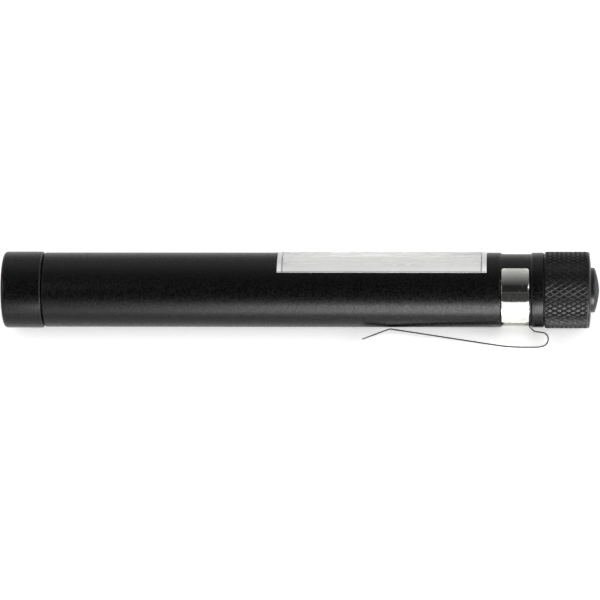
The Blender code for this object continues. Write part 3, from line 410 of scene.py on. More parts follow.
@dataclass(frozen=True)
class Thread:
    """A right-hand thread's rib, which advances one pitch along x for each turn about it."""

    root: float
    start: float
    pitch: float = 0.00125
    turns: float = 2.75
    height: float = 0.00045
    base: float = 0.00075
    crest: float = 0.00025
    stations: int = 44

    def split(self, profile: Array, first: float, last: float = math.inf) -> Array:
        """Split the side that the rib stands on, as far as the rib reaches.

        Args:
            profile: Profile with x and r first.
            first: Station before which the side isn't split.
            last: Station past which it isn't split.

        Returns:
            The profile with the new points in it.
        """
        first = max(first, self.start - self.base)
        last = min(last, self.start + self.pitch * self.turns + self.base)
        return refined(profile, self.root, first, last, self.stations)

    def rise(self, profile: Array, angle: Array) -> Array:
        """Work out the height of the rib above its root, 0 where a profile is off the root.

        The distance from the nearest winding's middle gives a trapezoid of the rib's base and
        crest, and the rib runs out over an eighth of a turn at each end.

        Args:
            profile: Profile with x and r first.
            angle: Angles, (columns) or (rows, columns).

        Returns:
            Heights, (rows, columns).
        """
        x, r = profile[:, :1], profile[:, 1:2]
        winding = np.round((x - self.start) / self.pitch - angle / math.tau)
        total = angle + math.tau * winding
        away = np.abs(x - self.start - self.pitch * total / math.tau)
        flank = np.clip((self.base / 2 - away) / ((self.base - self.crest) / 2), 0.0, 1.0)
        end = math.tau * self.turns
        fade = np.clip(8.0 * np.minimum(total, end - total) / math.tau, 0.0, 1.0)
        return self.height * flank * fade * (np.abs(r - self.root) < LEVEL)


# ---- Finishes


def shaded(color: Color, share: float) -> Color:
    """Darken a colour to a share of itself, or brighten it."""
    return tuple(share * part for part in color)


class Value:
    """A number or a colour in a material's graph, whose +, -, * and | make math nodes."""

    def __init__(self, graph: "Graph", socket: Socket) -> None:
        """Hold an output socket of a graph."""
        self.graph = graph
        self.socket = socket

    def __add__(self, other: "Value | float") -> "Value":
        """Add another number."""
        return self.graph.math("ADD", self, other)

    def __sub__(self, other: "Value | float") -> "Value":
        """Take another number away."""
        return self.graph.math("SUBTRACT", self, other)

    def __mul__(self, other: "Value | float") -> "Value":
        """Multiply by another number."""
        return self.graph.math("MULTIPLY", self, other)

    def __or__(self, other: "Value | float") -> "Value":
        """Take the larger of two numbers."""
        return self.graph.math("MAXIMUM", self, other)

    def held(self) -> "Value":
        """Hold the result between 0 and 1."""
        self.socket.node.use_clamp = True
        return self


class Graph:
    """The node graph of one material, put together in small steps."""

    def __init__(self, name: str, axes: LightAxes) -> None:
        """Start a material with a Principled shader, read in the light's own axes."""
        self.material = bpy.data.materials.new(name)
        self.material.use_nodes = True
        self.tree = self.material.node_tree
        texture = self.tree.nodes.new("ShaderNodeTexCoord")
        mapping = self.tree.nodes.new("ShaderNodeMapping")
        mapping.vector_type = "TEXTURE"
        mapping.inputs["Location"].default_value = tuple(axes.origin)
        mapping.inputs["Rotation"].default_value = (axes.lean, 0.0, 0.0)
        self.tree.links.new(texture.outputs["Object"], mapping.inputs["Vector"])
        self.own = Value(self, mapping.outputs["Vector"])
        split = self.tree.nodes.new("ShaderNodeSeparateXYZ")
        self.put(split.inputs[0], self.own)
        self.x, self.y, self.z = (Value(self, output) for output in split.outputs)

    def put(self, socket: Socket, value: object) -> None:
        """Link a value to an input socket, or set the socket to a plain number or colour."""
        if isinstance(value, Value):
            self.tree.links.new(value.socket, socket)
        elif isinstance(value, tuple) and socket.type == "RGBA":
            socket.default_value = (*value, 1.0)
        else:
            socket.default_value = value

    def set(self, **values: object) -> None:
        """Put values on the shader's own sockets, named with underscores for spaces."""
        for name, value in values.items():
            self.put(self.tree.nodes["Principled BSDF"].inputs[name.replace("_", " ")], value)

    def math(self, operation: str, a: object, b: object = 0.0) -> Value:
        """Combine two numbers."""
        node = self.tree.nodes.new("ShaderNodeMath")
        node.operation = operation
        self.put(node.inputs[0], a)
        self.put(node.inputs[1], b)
        return Value(self, node.outputs[0])

    def radial(self) -> Value:
        """Distance from the barrel's axis."""
        return self.math("SQRT", self.y * self.y + self.z * self.z)

    def unrolled(self, radius: float) -> Value:
        """Coordinates of the barrel's unrolled skin: along it, around it and out of it."""
        node = self.tree.nodes.new("ShaderNodeCombineXYZ")
        around = self.math("ARCTAN2", self.y, self.z) * radius
        for socket, value in zip(node.inputs, (self.x, around, self.radial())):
            self.put(socket, value)
        return Value(self, node.outputs[0])

    def noise(self, scale: float, detail: float = 3.0, rough: float = 0.6,
              vector: Value | None = None) -> Value:
        """Fractal noise from 0 to 1 with features of about one over `scale` metres."""
        node = self.tree.nodes.new("ShaderNodeTexNoise")
        for title, value in (("Vector", vector or self.own), ("Scale", scale),
                             ("Detail", detail), ("Roughness", rough)):
            self.put(node.inputs[title], value)
        return Value(self, node.outputs["Fac"])

    def grain(self, per_metre: tuple[float, float, float], detail: float = 3.0,
              rough: float = 0.6, base: Value | None = None) -> Value:
        """Fractal noise that is drawn out: so many features to the metre along each axis."""
        node = self.tree.nodes.new("ShaderNodeVectorMath")
        node.operation = "MULTIPLY"
        self.put(node.inputs[0], base or self.own)
        node.inputs[1].default_value = per_metre
        return self.noise(1.0, detail, rough, Value(self, node.outputs[0]))

    def cells(self, scale: float) -> Value:
        """Distance from the middle of the nearest cell of a random pattern."""
        node = self.tree.nodes.new("ShaderNodeTexVoronoi")
        self.put(node.inputs["Vector"], self.own)
        self.put(node.inputs["Scale"], scale)
        return Value(self, node.outputs["Distance"])

    def span(self, value: Value, low: float, high: float, to_low: float = 0.0,
             to_high: float = 1.0) -> Value:
        """Ease a number from one range to another, held at both ends."""
        node = self.tree.nodes.new("ShaderNodeMapRange")
        node.interpolation_type = "SMOOTHSTEP"
        for title, entry in zip(("Value", "From Min", "From Max", "To Min", "To Max"),
                                (value, low, high, to_low, to_high)):
            self.put(node.inputs[title], entry)
        return Value(self, node.outputs["Result"])

    def mix(self, share: Value, a: Value | Color, b: Value | Color) -> Value:
        """Blend two colours by a share."""
        node = self.tree.nodes.new("ShaderNodeMix")
        node.data_type = "RGBA"
        for index, value in ((0, share), (6, a), (7, b)):
            self.put(node.inputs[index], value)
        return Value(self, node.outputs[2])

    def bump(self, height: Value, depth: float, strength: float = 1.0,
             under: Value | None = None) -> Value:
        """Turn a height from 0 to 1 into a bump that is `depth` deep."""
        node = self.tree.nodes.new("ShaderNodeBump")
        for title, value in (("Strength", strength), ("Distance", depth), ("Height", height)):
            self.put(node.inputs[title], value)
        if under is not None:
            self.put(node.inputs["Normal"], under)
        return Value(self, node.outputs["Normal"])

    def near(self, stations: tuple[float, ...], width: float) -> Value:
        """Mark what lies near some stations along the barrel: 1 at a station, 0 past `width`."""
        marks = [self.span(self.math("ABSOLUTE", self.x - station), width, 0.0)
                 for station in stations]
        return reduce(Value.__or__, marks)


@dataclass(frozen=True)
class Finish:
    """What a surface is made of. Each kind lays out a graph of its own."""

    def make(self, name: str, axes: LightAxes) -> bpy.types.Material:
        """Make the material.

        Args:
            name: Name of the material.
            axes: The axes that its patterns follow.

        Returns:
            The material.
        """
        graph = Graph(name, axes)
        self.lay(graph)
        return graph.material

    def lay(self, g: Graph) -> None:
        """Lay the finish out as nodes."""
        raise NotImplementedError


@dataclass(frozen=True)
class Anodised(Finish):
    """Black anodised aluminium: blasted grain, faint turning marks, edges worn a little pale."""

    color: Color = (0.0009, 0.0009, 0.001)
    dusty: Color = (0.006, 0.006, 0.0063)
    worn: Color = (0.05, 0.05, 0.052)
    roughness: float = 0.31
    edges: tuple[float, ...] = ()
    edge_width: float = 0.00022
    rubbed: float = 0.5
    tips: tuple[float, float] | None = None

    def lay(self, g: Graph) -> None:
        """Lay out grain, an uneven polish, scratches, worn edges and worn knurl tips."""
        grain = g.noise(9000.0, 2.0)
        peel = g.noise(1500.0, 3.0, 0.8)
        cloud = g.noise(160.0, 4.0, 0.55)
        skin = g.unrolled(0.01)
        marks = g.grain((5200.0, 160.0, 300.0), 2.0, 0.7, skin)
        scratch = g.grain((260.0, 3400.0, 900.0), 2.0, 0.5, skin)
        wear = g.span(scratch, 0.69, 0.74) * 0.12
        if self.edges:
            rub = g.near(self.edges, self.edge_width) * g.span(cloud, 0.3, 0.75)
            wear = wear | rub * self.rubbed
        if self.tips:
            patchy = g.span(g.noise(600.0), 0.35, 0.7, 0.25, 1.0)
            wear = wear | g.span(g.radial(), *self.tips) * patchy * 0.12
        tone = g.mix(g.span(cloud, 0.3, 0.7), self.color, shaded(self.color, 1.5))
        tone = g.mix(g.span(grain, 0.5, 0.75, 0.0, 0.2), tone, self.dusty)
        rough = g.span(peel, 0.4, 0.6, self.roughness - 0.07, self.roughness + 0.07)
        rough = rough + (grain - 0.5) * 0.14 - wear * 0.08
        relief = g.bump(grain * 0.5 + marks * 0.25, 0.000003, under=g.bump(peel, 0.00003))
        g.set(Base_Color=g.mix(wear, tone, self.worn), Roughness=rough.held(), IOR=1.45,
              Normal=relief, Metallic=0.0, Specular_IOR_Level=0.22)


@dataclass(frozen=True)
class Metal(Finish):
    """Bare metal: grain along the part, fine scratches and a breath of tarnish."""

    color: Color
    tarnish: Color
    roughness: float = 0.14
    per_metre: tuple[float, float, float] = (300.0, 9000.0, 9000.0)
    relief: float = 0.0000006

    def lay(self, g: Graph) -> None:
        """Lay out drawn grain, cross scratches, dull spots and clouds of tarnish."""
        lines = g.grain(self.per_metre)
        cloud = g.noise(240.0, 4.0)
        scratch = g.span(g.grain((3000.0, 420.0, 420.0), 2.0, 0.5), 0.66, 0.74)
        spots = g.span(g.noise(1500.0), 0.6, 0.8)
        tone = g.mix(g.span(cloud, 0.42, 0.8), self.color, self.tarnish)
        rough = g.span(lines, 0.2, 0.8, self.roughness - 0.03, self.roughness + 0.05)
        rough = rough + (scratch * 0.12 + spots * 0.06)
        g.set(Base_Color=tone, Metallic=1.0, Roughness=rough.held(),
              Normal=g.bump(lines + scratch * -0.8, self.relief))


@dataclass(frozen=True)
class Clear(Finish):
    """Clear moulded plastic: draw lines along it, a little haze and a few hairline scratches.

    A cover that is glued in is milky at its foot: `milky` gives the height where it is clear,
    the height where it is milky and what is left of its clarity there. Past its `joints` the
    cover is solid and hazy, with a dark line at each joint and along its `foot`.
    """

    color: Color = (0.95, 0.955, 0.948)
    glue: Color = (0.16, 0.16, 0.165)
    roughness: float = 0.14
    index: float = 1.49
    haze: float = 0.04
    clarity: float = 0.84
    milky: tuple[float, float, float] | None = None
    foot: float = 0.0
    joints: tuple[float, float] | None = None

    def lay(self, g: Graph) -> None:
        """Lay out draw lines, hairlines and dust, then the milky foot and the joints."""
        streaks = g.grain((1.5, 900.0, 900.0))
        hair = g.span(g.grain((500.0, 6000.0, 6000.0), 2.0, 0.5), 0.68, 0.74)
        dust = g.span(g.noise(2600.0, 2.0), 0.66, 0.8)
        rough = g.span(streaks, 0.3, 0.75, self.roughness, self.roughness + self.haze)
        rough = rough + (hair | dust) * 0.15
        tint = g.mix(g.span(streaks, 0.35, 0.75), self.color, shaded(self.color, 0.98))
        clear = self.clarity
        if self.milky:
            top, foot, least = self.milky
            clear = g.span(g.z, foot, top, least, self.clarity)
        if self.joints:
            front, back = self.joints
            hollow = g.span(g.x, front - 0.0002, front) * g.span(g.x, back + 0.0002, back)
            clear = clear * g.span(hollow, 0.0, 1.0, 0.42, 1.0)
            seam = g.near(self.joints, 0.0003) * 0.92
            seam = seam | g.span(g.z, self.foot + 0.0002, self.foot, 0.0, 0.55)
            tint = g.mix(seam, tint, self.glue)
        g.set(Base_Color=tint, Roughness=rough.held(), IOR=self.index,
              Transmission_Weight=clear, Normal=g.bump(streaks, 0.0000006))


@dataclass(frozen=True)
class Rubber(Finish):
    """Black moulded rubber: fine stipple, a grey bloom and a few specks of dust."""

    color: Color = (0.0075, 0.0075, 0.008)
    bloom: Color = (0.03, 0.03, 0.031)
    dust: Color = (0.16, 0.155, 0.15)
    roughness: float = 0.42
    stipple: float = 5200.0
    relief: float = 0.000009
    gloss: tuple[float, float] | None = None
    level: float = 0.5

    def lay(self, g: Graph) -> None:
        """Lay out stipple, bloom and dust, and a glossier side past the radius of `gloss`."""
        pebble = g.cells(self.stipple)
        cloud = g.noise(420.0, 4.0)
        tone = g.mix(g.span(cloud, 0.35, 0.8, 0.0, 0.45), self.color, self.bloom)
        speck = g.span(g.noise(5200.0, 2.0, 0.5), 0.7, 0.78)
        tone = g.mix(speck * 0.25, tone, self.dust)
        rough = g.span(cloud, 0.3, 0.7, self.roughness, self.roughness + 0.12)
        rough = (rough + pebble * 0.1).held()
        if self.gloss:
            radius, value = self.gloss
            side = g.span(g.radial(), radius - 0.0002, radius)
            rough = (rough + side * (value - self.roughness)).held()
        g.set(Base_Color=tone, Roughness=rough,
              Normal=g.bump(pebble * -0.6 + cloud * 0.5, self.relief),
              Specular_IOR_Level=self.level, Sheen_Weight=0.02, Sheen_Roughness=0.5)


@dataclass(frozen=True)
class Moulded(Finish):
    """Moulded plastic in one colour: spark-eroded grain, flow marks and rubbed patches."""

    color: Color
    shade: Color
    roughness: float = 0.45
    fine: float = 6500.0

    def lay(self, g: Graph) -> None:
        """Lay out grain, flow marks in a second tone and smoother rubbed patches."""
        grain = g.noise(self.fine, 2.0)
        flow = g.grain((90.0, 380.0, 380.0), 4.0)
        rub = g.span(g.noise(700.0, 3.0, 0.65), 0.55, 0.75)
        rough = g.span(grain, 0.3, 0.7, self.roughness - 0.05, self.roughness + 0.06)
        g.set(Base_Color=g.mix(g.span(flow, 0.35, 0.75), self.color, self.shade),
              Roughness=(rough + rub * -0.1).held(), Normal=g.bump(grain, 0.000004))


@dataclass(frozen=True)
class MirrorCup(Finish):
    """Aluminised reflector: a faint orange peel, brighter and dimmer clouds, a few pinholes."""

    color: Color = (0.93, 0.93, 0.92)
    dim: Color = (0.84, 0.85, 0.86)
    pinhole: Color = (0.3, 0.3, 0.31)

    def lay(self, g: Graph) -> None:
        """Lay out the peel, the clouds and the pinholes."""
        cloud = g.noise(500.0)
        pin = g.span(g.noise(7000.0, 1.0, 0.5), 0.73, 0.78)
        tone = g.mix(pin, g.mix(g.span(cloud, 0.4, 0.8), self.color, self.dim), self.pinhole)
        g.set(Base_Color=tone, Metallic=1.0, Roughness=g.span(cloud, 0.3, 0.7, 0.05, 0.11),
              Normal=g.bump(g.noise(1900.0, 2.0, 0.5), 0.000012))


@dataclass(frozen=True)
class Phosphor(Finish):
    """Yellow phosphor in clear silicone, with the chips under it showing as paler dots."""

    color: Color = (0.86, 0.62, 0.07)
    pale: Color = (0.93, 0.8, 0.32)
    pitch: float = 0.0011

    def lay(self, g: Graph) -> None:
        """Lay out rows of chips, clouds in the phosphor and specks in the silicone."""
        along, across = (g.math("PINGPONG", part, self.pitch / 2) for part in (g.x, g.y))
        chips = g.span(along | across, self.pitch * 0.3, self.pitch * 0.48)
        cloud = g.noise(1400.0)
        speck = g.noise(12000.0, 2.0)
        tone = g.mix(chips * 0.55, self.color, self.pale)
        tone = g.mix(g.span(cloud, 0.4, 0.8, 0.0, 0.4), tone, shaded(self.color, 0.78))
        g.set(Base_Color=tone, Roughness=g.span(speck, 0.3, 0.7, 0.24, 0.4),
              Normal=g.bump(cloud * 0.6 + speck * 0.15, 0.00002),
              Subsurface_Weight=0.25, Subsurface_Scale=0.0006,
              Coat_Weight=0.35, Coat_Roughness=0.12)


class Mask(Enum):
    """Solder mask of a circuit board, as base colour and colour over copper."""

    GREEN = ((0.012, 0.11, 0.045), (0.03, 0.2, 0.075))
    WHITE = ((0.78, 0.78, 0.75), (0.86, 0.85, 0.8))


@dataclass(frozen=True)
class Board(Finish):
    """Circuit board: copper tracks raised under the mask, tinned pads and glass weave."""

    mask: Mask
    track: float = 0.0016
    tin: Color = (0.66, 0.65, 0.62)
    weave: float = 12000.0

    def lay(self, g: Graph) -> None:
        """Lay out wandering tracks, the weave, the pads and an uneven mask."""
        base, over = self.mask.value
        lanes = g.math("PINGPONG", g.noise(260.0, 0.0, 0.5) * 0.004 + g.y, self.track / 2)
        tracks = g.span(lanes, self.track * 0.22, self.track * 0.27)
        weave = g.math("SINE", g.x * self.weave) * g.math("SINE", g.z * self.weave)
        pads = g.span(g.cells(420.0), 0.2, 0.17)
        grain = g.noise(6000.0, 2.0)
        uneven = g.span(g.noise(300.0, 3.0, 0.5), 0.4, 0.8, 0.0, 0.3)
        tone = g.mix(uneven, g.mix(tracks, base, over), shaded(base, 0.8))
        g.set(Base_Color=g.mix(pads, tone, self.tin), Metallic=pads,
              Roughness=g.span(grain, 0.3, 0.7, 0.28, 0.42),
              Normal=g.bump(tracks + weave * 0.08 + grain * 0.2, 0.000018))


@dataclass(frozen=True)
class CellJacket(Finish):
    """Battery cell: bare steel ends, a printed jacket in plain bands, and a shrink seam."""

    front: float
    length: float
    nub: float = 0.0008
    copper_end: float = 0.0135
    rings: tuple[float, float] = (0.0142, 0.0148)
    dark: Color = (0.018, 0.02, 0.026)
    copper: Color = (0.62, 0.34, 0.12)
    ring: Color = (0.55, 0.55, 0.54)
    scuff: Color = (0.1, 0.1, 0.1)
    steel: Color = (0.62, 0.61, 0.59)

    def lay(self, g: Graph) -> None:
        """Lay out the copper band, two rings, the steel ends and the seam."""
        nub, back = self.front + self.nub, self.front + self.length
        edge = self.front + self.copper_end
        copper = g.span(g.x, edge, edge - 0.0002)
        steel = g.span(g.x, nub + 0.0003, nub) | g.span(g.x, back - 0.0003, back - 0.0001)
        rings = g.near(tuple(self.front + ring for ring in self.rings), 0.00012)
        cloud = g.noise(300.0)
        tone = g.mix(rings, g.mix(copper, self.dark, self.copper), self.ring)
        tone = g.mix(g.span(cloud, 0.45, 0.8, 0.0, 0.25), tone, self.scuff)
        seam = g.span(g.math("ABSOLUTE", g.y), 0.00025, 0.0001)
        g.set(Base_Color=g.mix(steel, tone, self.steel), Metallic=steel | copper * 0.7,
              Roughness=g.span(cloud, 0.3, 0.7, 0.24, 0.36),
              Normal=g.bump(g.noise(5000.0, 2.0) * 0.3 + seam, 0.000012),
              Coat_Weight=0.3, Coat_Roughness=0.15)


@dataclass(frozen=True)
class Insulation(Finish):
    """Plastic wire insulation: extrusion lines along it and a waxy bloom."""

    color: Color

    def lay(self, g: Graph) -> None:
        """Lay out the lines and the bloom."""
        bloom = g.noise(900.0)
        pale = tuple(min(1.0, 1.6 * part + 0.02) for part in self.color)
        g.set(Base_Color=g.mix(g.span(bloom, 0.4, 0.75, 0.0, 0.6), self.color, pale),
              Roughness=g.span(bloom, 0.3, 0.7, 0.34, 0.5),
              Normal=g.bump(g.grain((60.0, 7000.0, 7000.0)), 0.000008))


@dataclass(frozen=True)
class Paper(Finish):
    """Pale studio paper, lit from below as on a light table: a fine tooth, faintly uneven.

    A brighter patch in front of the object gives the barrel its soft highlight. It grows from
    the head to the tail, and eases out before and behind: `front` and `behind` are the
    stations across the object, `head` and `tail` those along it, each (no glow, full glow).
    """

    color: Color = (0.8, 0.8, 0.8)
    glow: float = 0.5
    front_glow: float = 15.5
    front: tuple[float, float] = (-0.24, -0.16)
    behind: tuple[float, float] = (-0.032, -0.075)
    head: tuple[float, float] = (-0.10, 0.09)
    tail: tuple[float, float] = (0.2, 0.12)

    def lay(self, g: Graph) -> None:
        """Lay out the tooth, the unevenness and the glow."""
        patch = g.span(g.y, *self.behind) * g.span(g.y, *self.front)
        patch = patch * g.span(g.x, *self.head, 0.1, 1.0) * g.span(g.x, *self.tail)
        uneven = g.span(g.noise(6.0, 2.0, 0.5), 0.3, 0.7)
        g.set(Base_Color=g.mix(uneven, self.color, shaded(self.color, 0.99)),
              Roughness=0.9, Normal=g.bump(g.noise(900.0), 0.00002, 0.3),
              Specular_IOR_Level=0.1, Emission_Color=(1.0, 1.0, 1.0),
              Emission_Strength=patch * self.front_glow + self.glow)


# Turned metal has its grain round it, and drawn or rolled metal along it.
TURNED = (5200.0, 300.0, 300.0)
DRAWN = (900.0, 5000.0, 5000.0)
SPRING_STEEL = Metal((0.80, 0.80, 0.77), (0.66, 0.66, 0.63), 0.08)
# The clip's sheared edge is a real edge, but its near-black colour is painted shade: the steel is
# darkened so the strip looks dark when seen edge-on.
SHEARED_EDGE_PAINTED_SHADE = Metal((0.1, 0.1, 0.098), (0.07, 0.068, 0.065), 0.42,
                     (5000.0, 2500.0, 2500.0), 0.000003)
PLATED_WIRE = Metal((0.72, 0.71, 0.69), (0.5, 0.48, 0.45), 0.2, DRAWN)
GILT_WIRE = Metal((0.83, 0.62, 0.27), (0.6, 0.42, 0.18), 0.2, DRAWN)
BRASS = Metal((0.80, 0.60, 0.28), (0.55, 0.38, 0.17), 0.26, TURNED, 0.000002)
ALUMINIUM = Metal((0.75, 0.75, 0.76), (0.58, 0.58, 0.6), 0.3, TURNED, 0.000002)


# ---- Sub-assemblies


@dataclass
class Assembly:
    """A group of pieces that share the light's own axes."""

    axes: LightAxes

    def wear(self, obj: bpy.types.Object, finish: Finish) -> bpy.types.Object:
        """Give an object one finish, in place of what it had.

        Args:
            obj: A new piece or a CAD node.
            finish: Its finish.

        Returns:
            The object.
        """
        material = finish.make(obj.name + "_finish", self.axes)
        if not obj.material_slots:
            obj.data.materials.append(material)
        for entry in obj.material_slots:
            entry.material = material
        return obj

    def dress(self, **finishes: Finish) -> None:
        """Give CAD nodes that stay finishes of their own."""
        for node, finish in finishes.items():
            self.wear(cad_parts[node], finish)
            log.info("dressed %s", node)

    def fit(self, skin: Skin, name: str, body: str, slot: str, finish: Finish,
            stands_for: tuple[str, ...] = (), sharp: float = 32.0) -> bpy.types.Object:
        """Make a piece from its skin, dress it and let it ride on a body.

        Args:
            skin: The piece's skin.
            name: The piece's name.
            body: Body that it rides on, or nothing to leave it on no body.
            slot: Not used.
            finish: Its finish.
            stands_for: CAD nodes that it replaces.
            sharp: Angle past which its edges are drawn sharp.

        Returns:
            The piece.
        """
        piece = self.wear(skin.build(name, self.axes, sharp), finish)
        if stands_for:
            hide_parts(*stands_for)
        if body:
            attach(piece, body)
        log.info("made %s: %d faces", name, len(piece.data.polygons))
        return piece


@dataclass
class Head(Assembly):
    """Screw-on head: a plain turned ring with a rounded front edge, a lens plate and its seal."""

    length: float = 0.01095
    radius: float = 0.0105
    edge: float = 0.001
    lip: float = 0.0012
    opening: float = 0.0075
    flare: float = 0.0004
    lens_radius: float = 0.0088
    lens_front: float = 0.0025
    lens_thickness: float = 0.0015
    lens_bevel: float = 0.0002
    lens_gap: float = 0.0003
    thread_room: float = 0.0047
    bore: float = 0.00945
    chamfer: float = 0.0003
    seal: tuple[float, float, float] = (0.00185, 0.00815, 0.00045)
    thread: Thread = Thread(0.00945, 0.005275)
    worn: tuple[float, float] = (0.00015, 0.0108)
    sides: int = 160

    def bezel(self) -> None:
        """Turn the head: its section carried round the axis, with the thread cut in its bore."""
        corners = [
            (self.flare, self.opening),
            (0.0, self.opening + self.flare),
            (0.0, self.radius - self.edge),
            *arc(self.edge, self.radius - self.edge, self.edge, 180.0, 90.0, 10)[1:],
            (self.length - self.chamfer, self.radius),
            (self.length, self.radius - self.chamfer),
            (self.length, self.bore),
            (self.thread_room, self.bore),
            (self.thread_room, self.lens_radius + self.lens_gap),
            (self.lip, self.lens_radius + self.lens_gap),
            (self.lip, self.opening),
        ]
        profile = eased(corners, BROKEN)
        profile = self.thread.split(profile, self.thread_room + 2 * MARGIN)
        profile = np.concatenate([profile, profile[:1]])
        angle = full_turn(self.sides)
        points = turned_grid(profile, angle, -self.thread.rise(profile, angle))
        self.fit(Skin().grid(points, around=True), "head_ring", "head", "bezel",
                 Anodised(edges=self.worn), ("bezel",))

    def lens(self) -> None:
        """Turn the lens plate with broken edges, and the rubber ring that seats it."""
        front, back = self.lens_front, self.lens_front + self.lens_thickness
        corners = [(front, 0.0), (front, self.lens_radius), (back, self.lens_radius), (back, 0.0)]
        profile = eased(corners, self.lens_bevel, 4, closed=False)
        skin = turned_skin(profile, closed=False)
        finish = Clear(color=(0.98, 0.985, 0.99), roughness=0.01, index=1.5, haze=0.02,
                       clarity=1.0)
        self.fit(skin, "lens_plate", "lens", "front_lens", finish, ("front_lens",))
        self.fit(ring_skin(*self.seal), "lens_ring", "lens", "seal_rubber", Rubber(),
                 ("lens_seal",))

    def build(self) -> None:
        """Make the head's pieces."""
        self.bezel()
        self.lens()


@dataclass
class FrontLamp(Assembly):
    """Reflector cup, lamp chip on its board, the brass holder and the driver behind it."""

    rim_front: float = 0.0042
    rim: float = 0.0005
    rim_radius: float = 0.0087
    depth: float = 0.0054
    mouth: float = 0.0071
    hole: float = 0.0025
    wall: float = 0.0006
    ledge: float = 0.00005
    lamp_back: float = 0.0096
    lamp_side: float = 0.003
    lamp_height: float = 0.0008
    lamp_corner: float = 0.0003
    lamp_edge: float = 0.00004
    dome: float = 0.00118
    dome_seat: float = 0.0001

    def reflector(self) -> None:
        """Turn the cup: r^2 falls evenly from the mouth to the hole, which is a parabola."""
        share = 1.0 - (1.0 - np.linspace(0.0, 1.0, 28)) ** 2
        inner = np.sqrt(self.mouth**2 - (self.mouth**2 - self.hole**2) * share)
        inside = np.column_stack([self.rim_front + self.depth * share, inner])
        behind = self.rim_front + self.rim
        outside = inside[inside[:, 0] > behind][::-1] + (0.0, self.wall)
        rim = np.array([(behind, outside[-1, 1] + self.ledge), (behind, self.rim_radius),
                        (self.rim_front, self.rim_radius)])
        skin = turned_skin(np.concatenate([inside, outside, rim]))
        self.fit(skin, "reflector_cup", "barrel", "reflector", MirrorCup(),
                 ("reflector",), sharp=50.0)

    def lamp(self) -> None:
        """Make the chip's square base with round corners, and its dome, part of a sphere."""
        outline = rounded_rectangle(self.lamp_side, self.lamp_side, self.lamp_corner)
        base = slab_skin(outline, 0.0, slab_levels(0.0, self.lamp_height, self.lamp_edge))
        along, across, up = base.points[0].T
        base.points[0] = np.stack([self.lamp_back - up, along, across], -1)
        self.fit(base, "lamp_base", "barrel", "led_emitter",
                 Moulded((0.82, 0.8, 0.76), (0.72, 0.7, 0.66), 0.35), ("led_emitter",))
        front = self.lamp_back - self.lamp_height
        seat = front + self.dome_seat
        dome = [*arc(front, 0.0, self.dome, 180.0, 90.0, 15), (seat, self.dome), (seat, 0.0)]
        self.fit(turned_skin(dome, steps=48, closed=False), "lamp_dome", "barrel", "led_emitter",
                 Phosphor(pitch=0.0009))

    def build(self) -> None:
        """Make the lamp's pieces, and dress the ones that stay."""
        self.reflector()
        self.lamp()
        self.dress(
            led_board=Board(Mask.WHITE),
            led_pill=BRASS,
            driver_board=Board(Mask.GREEN, 0.0011),
            driver_inductor=Moulded((0.05, 0.05, 0.052), (0.09, 0.085, 0.08), 0.6, 3500.0),
            driver_chip=Moulded((0.012, 0.012, 0.013), (0.022, 0.022, 0.024), 0.4),
            positive_contact=BRASS,
        )


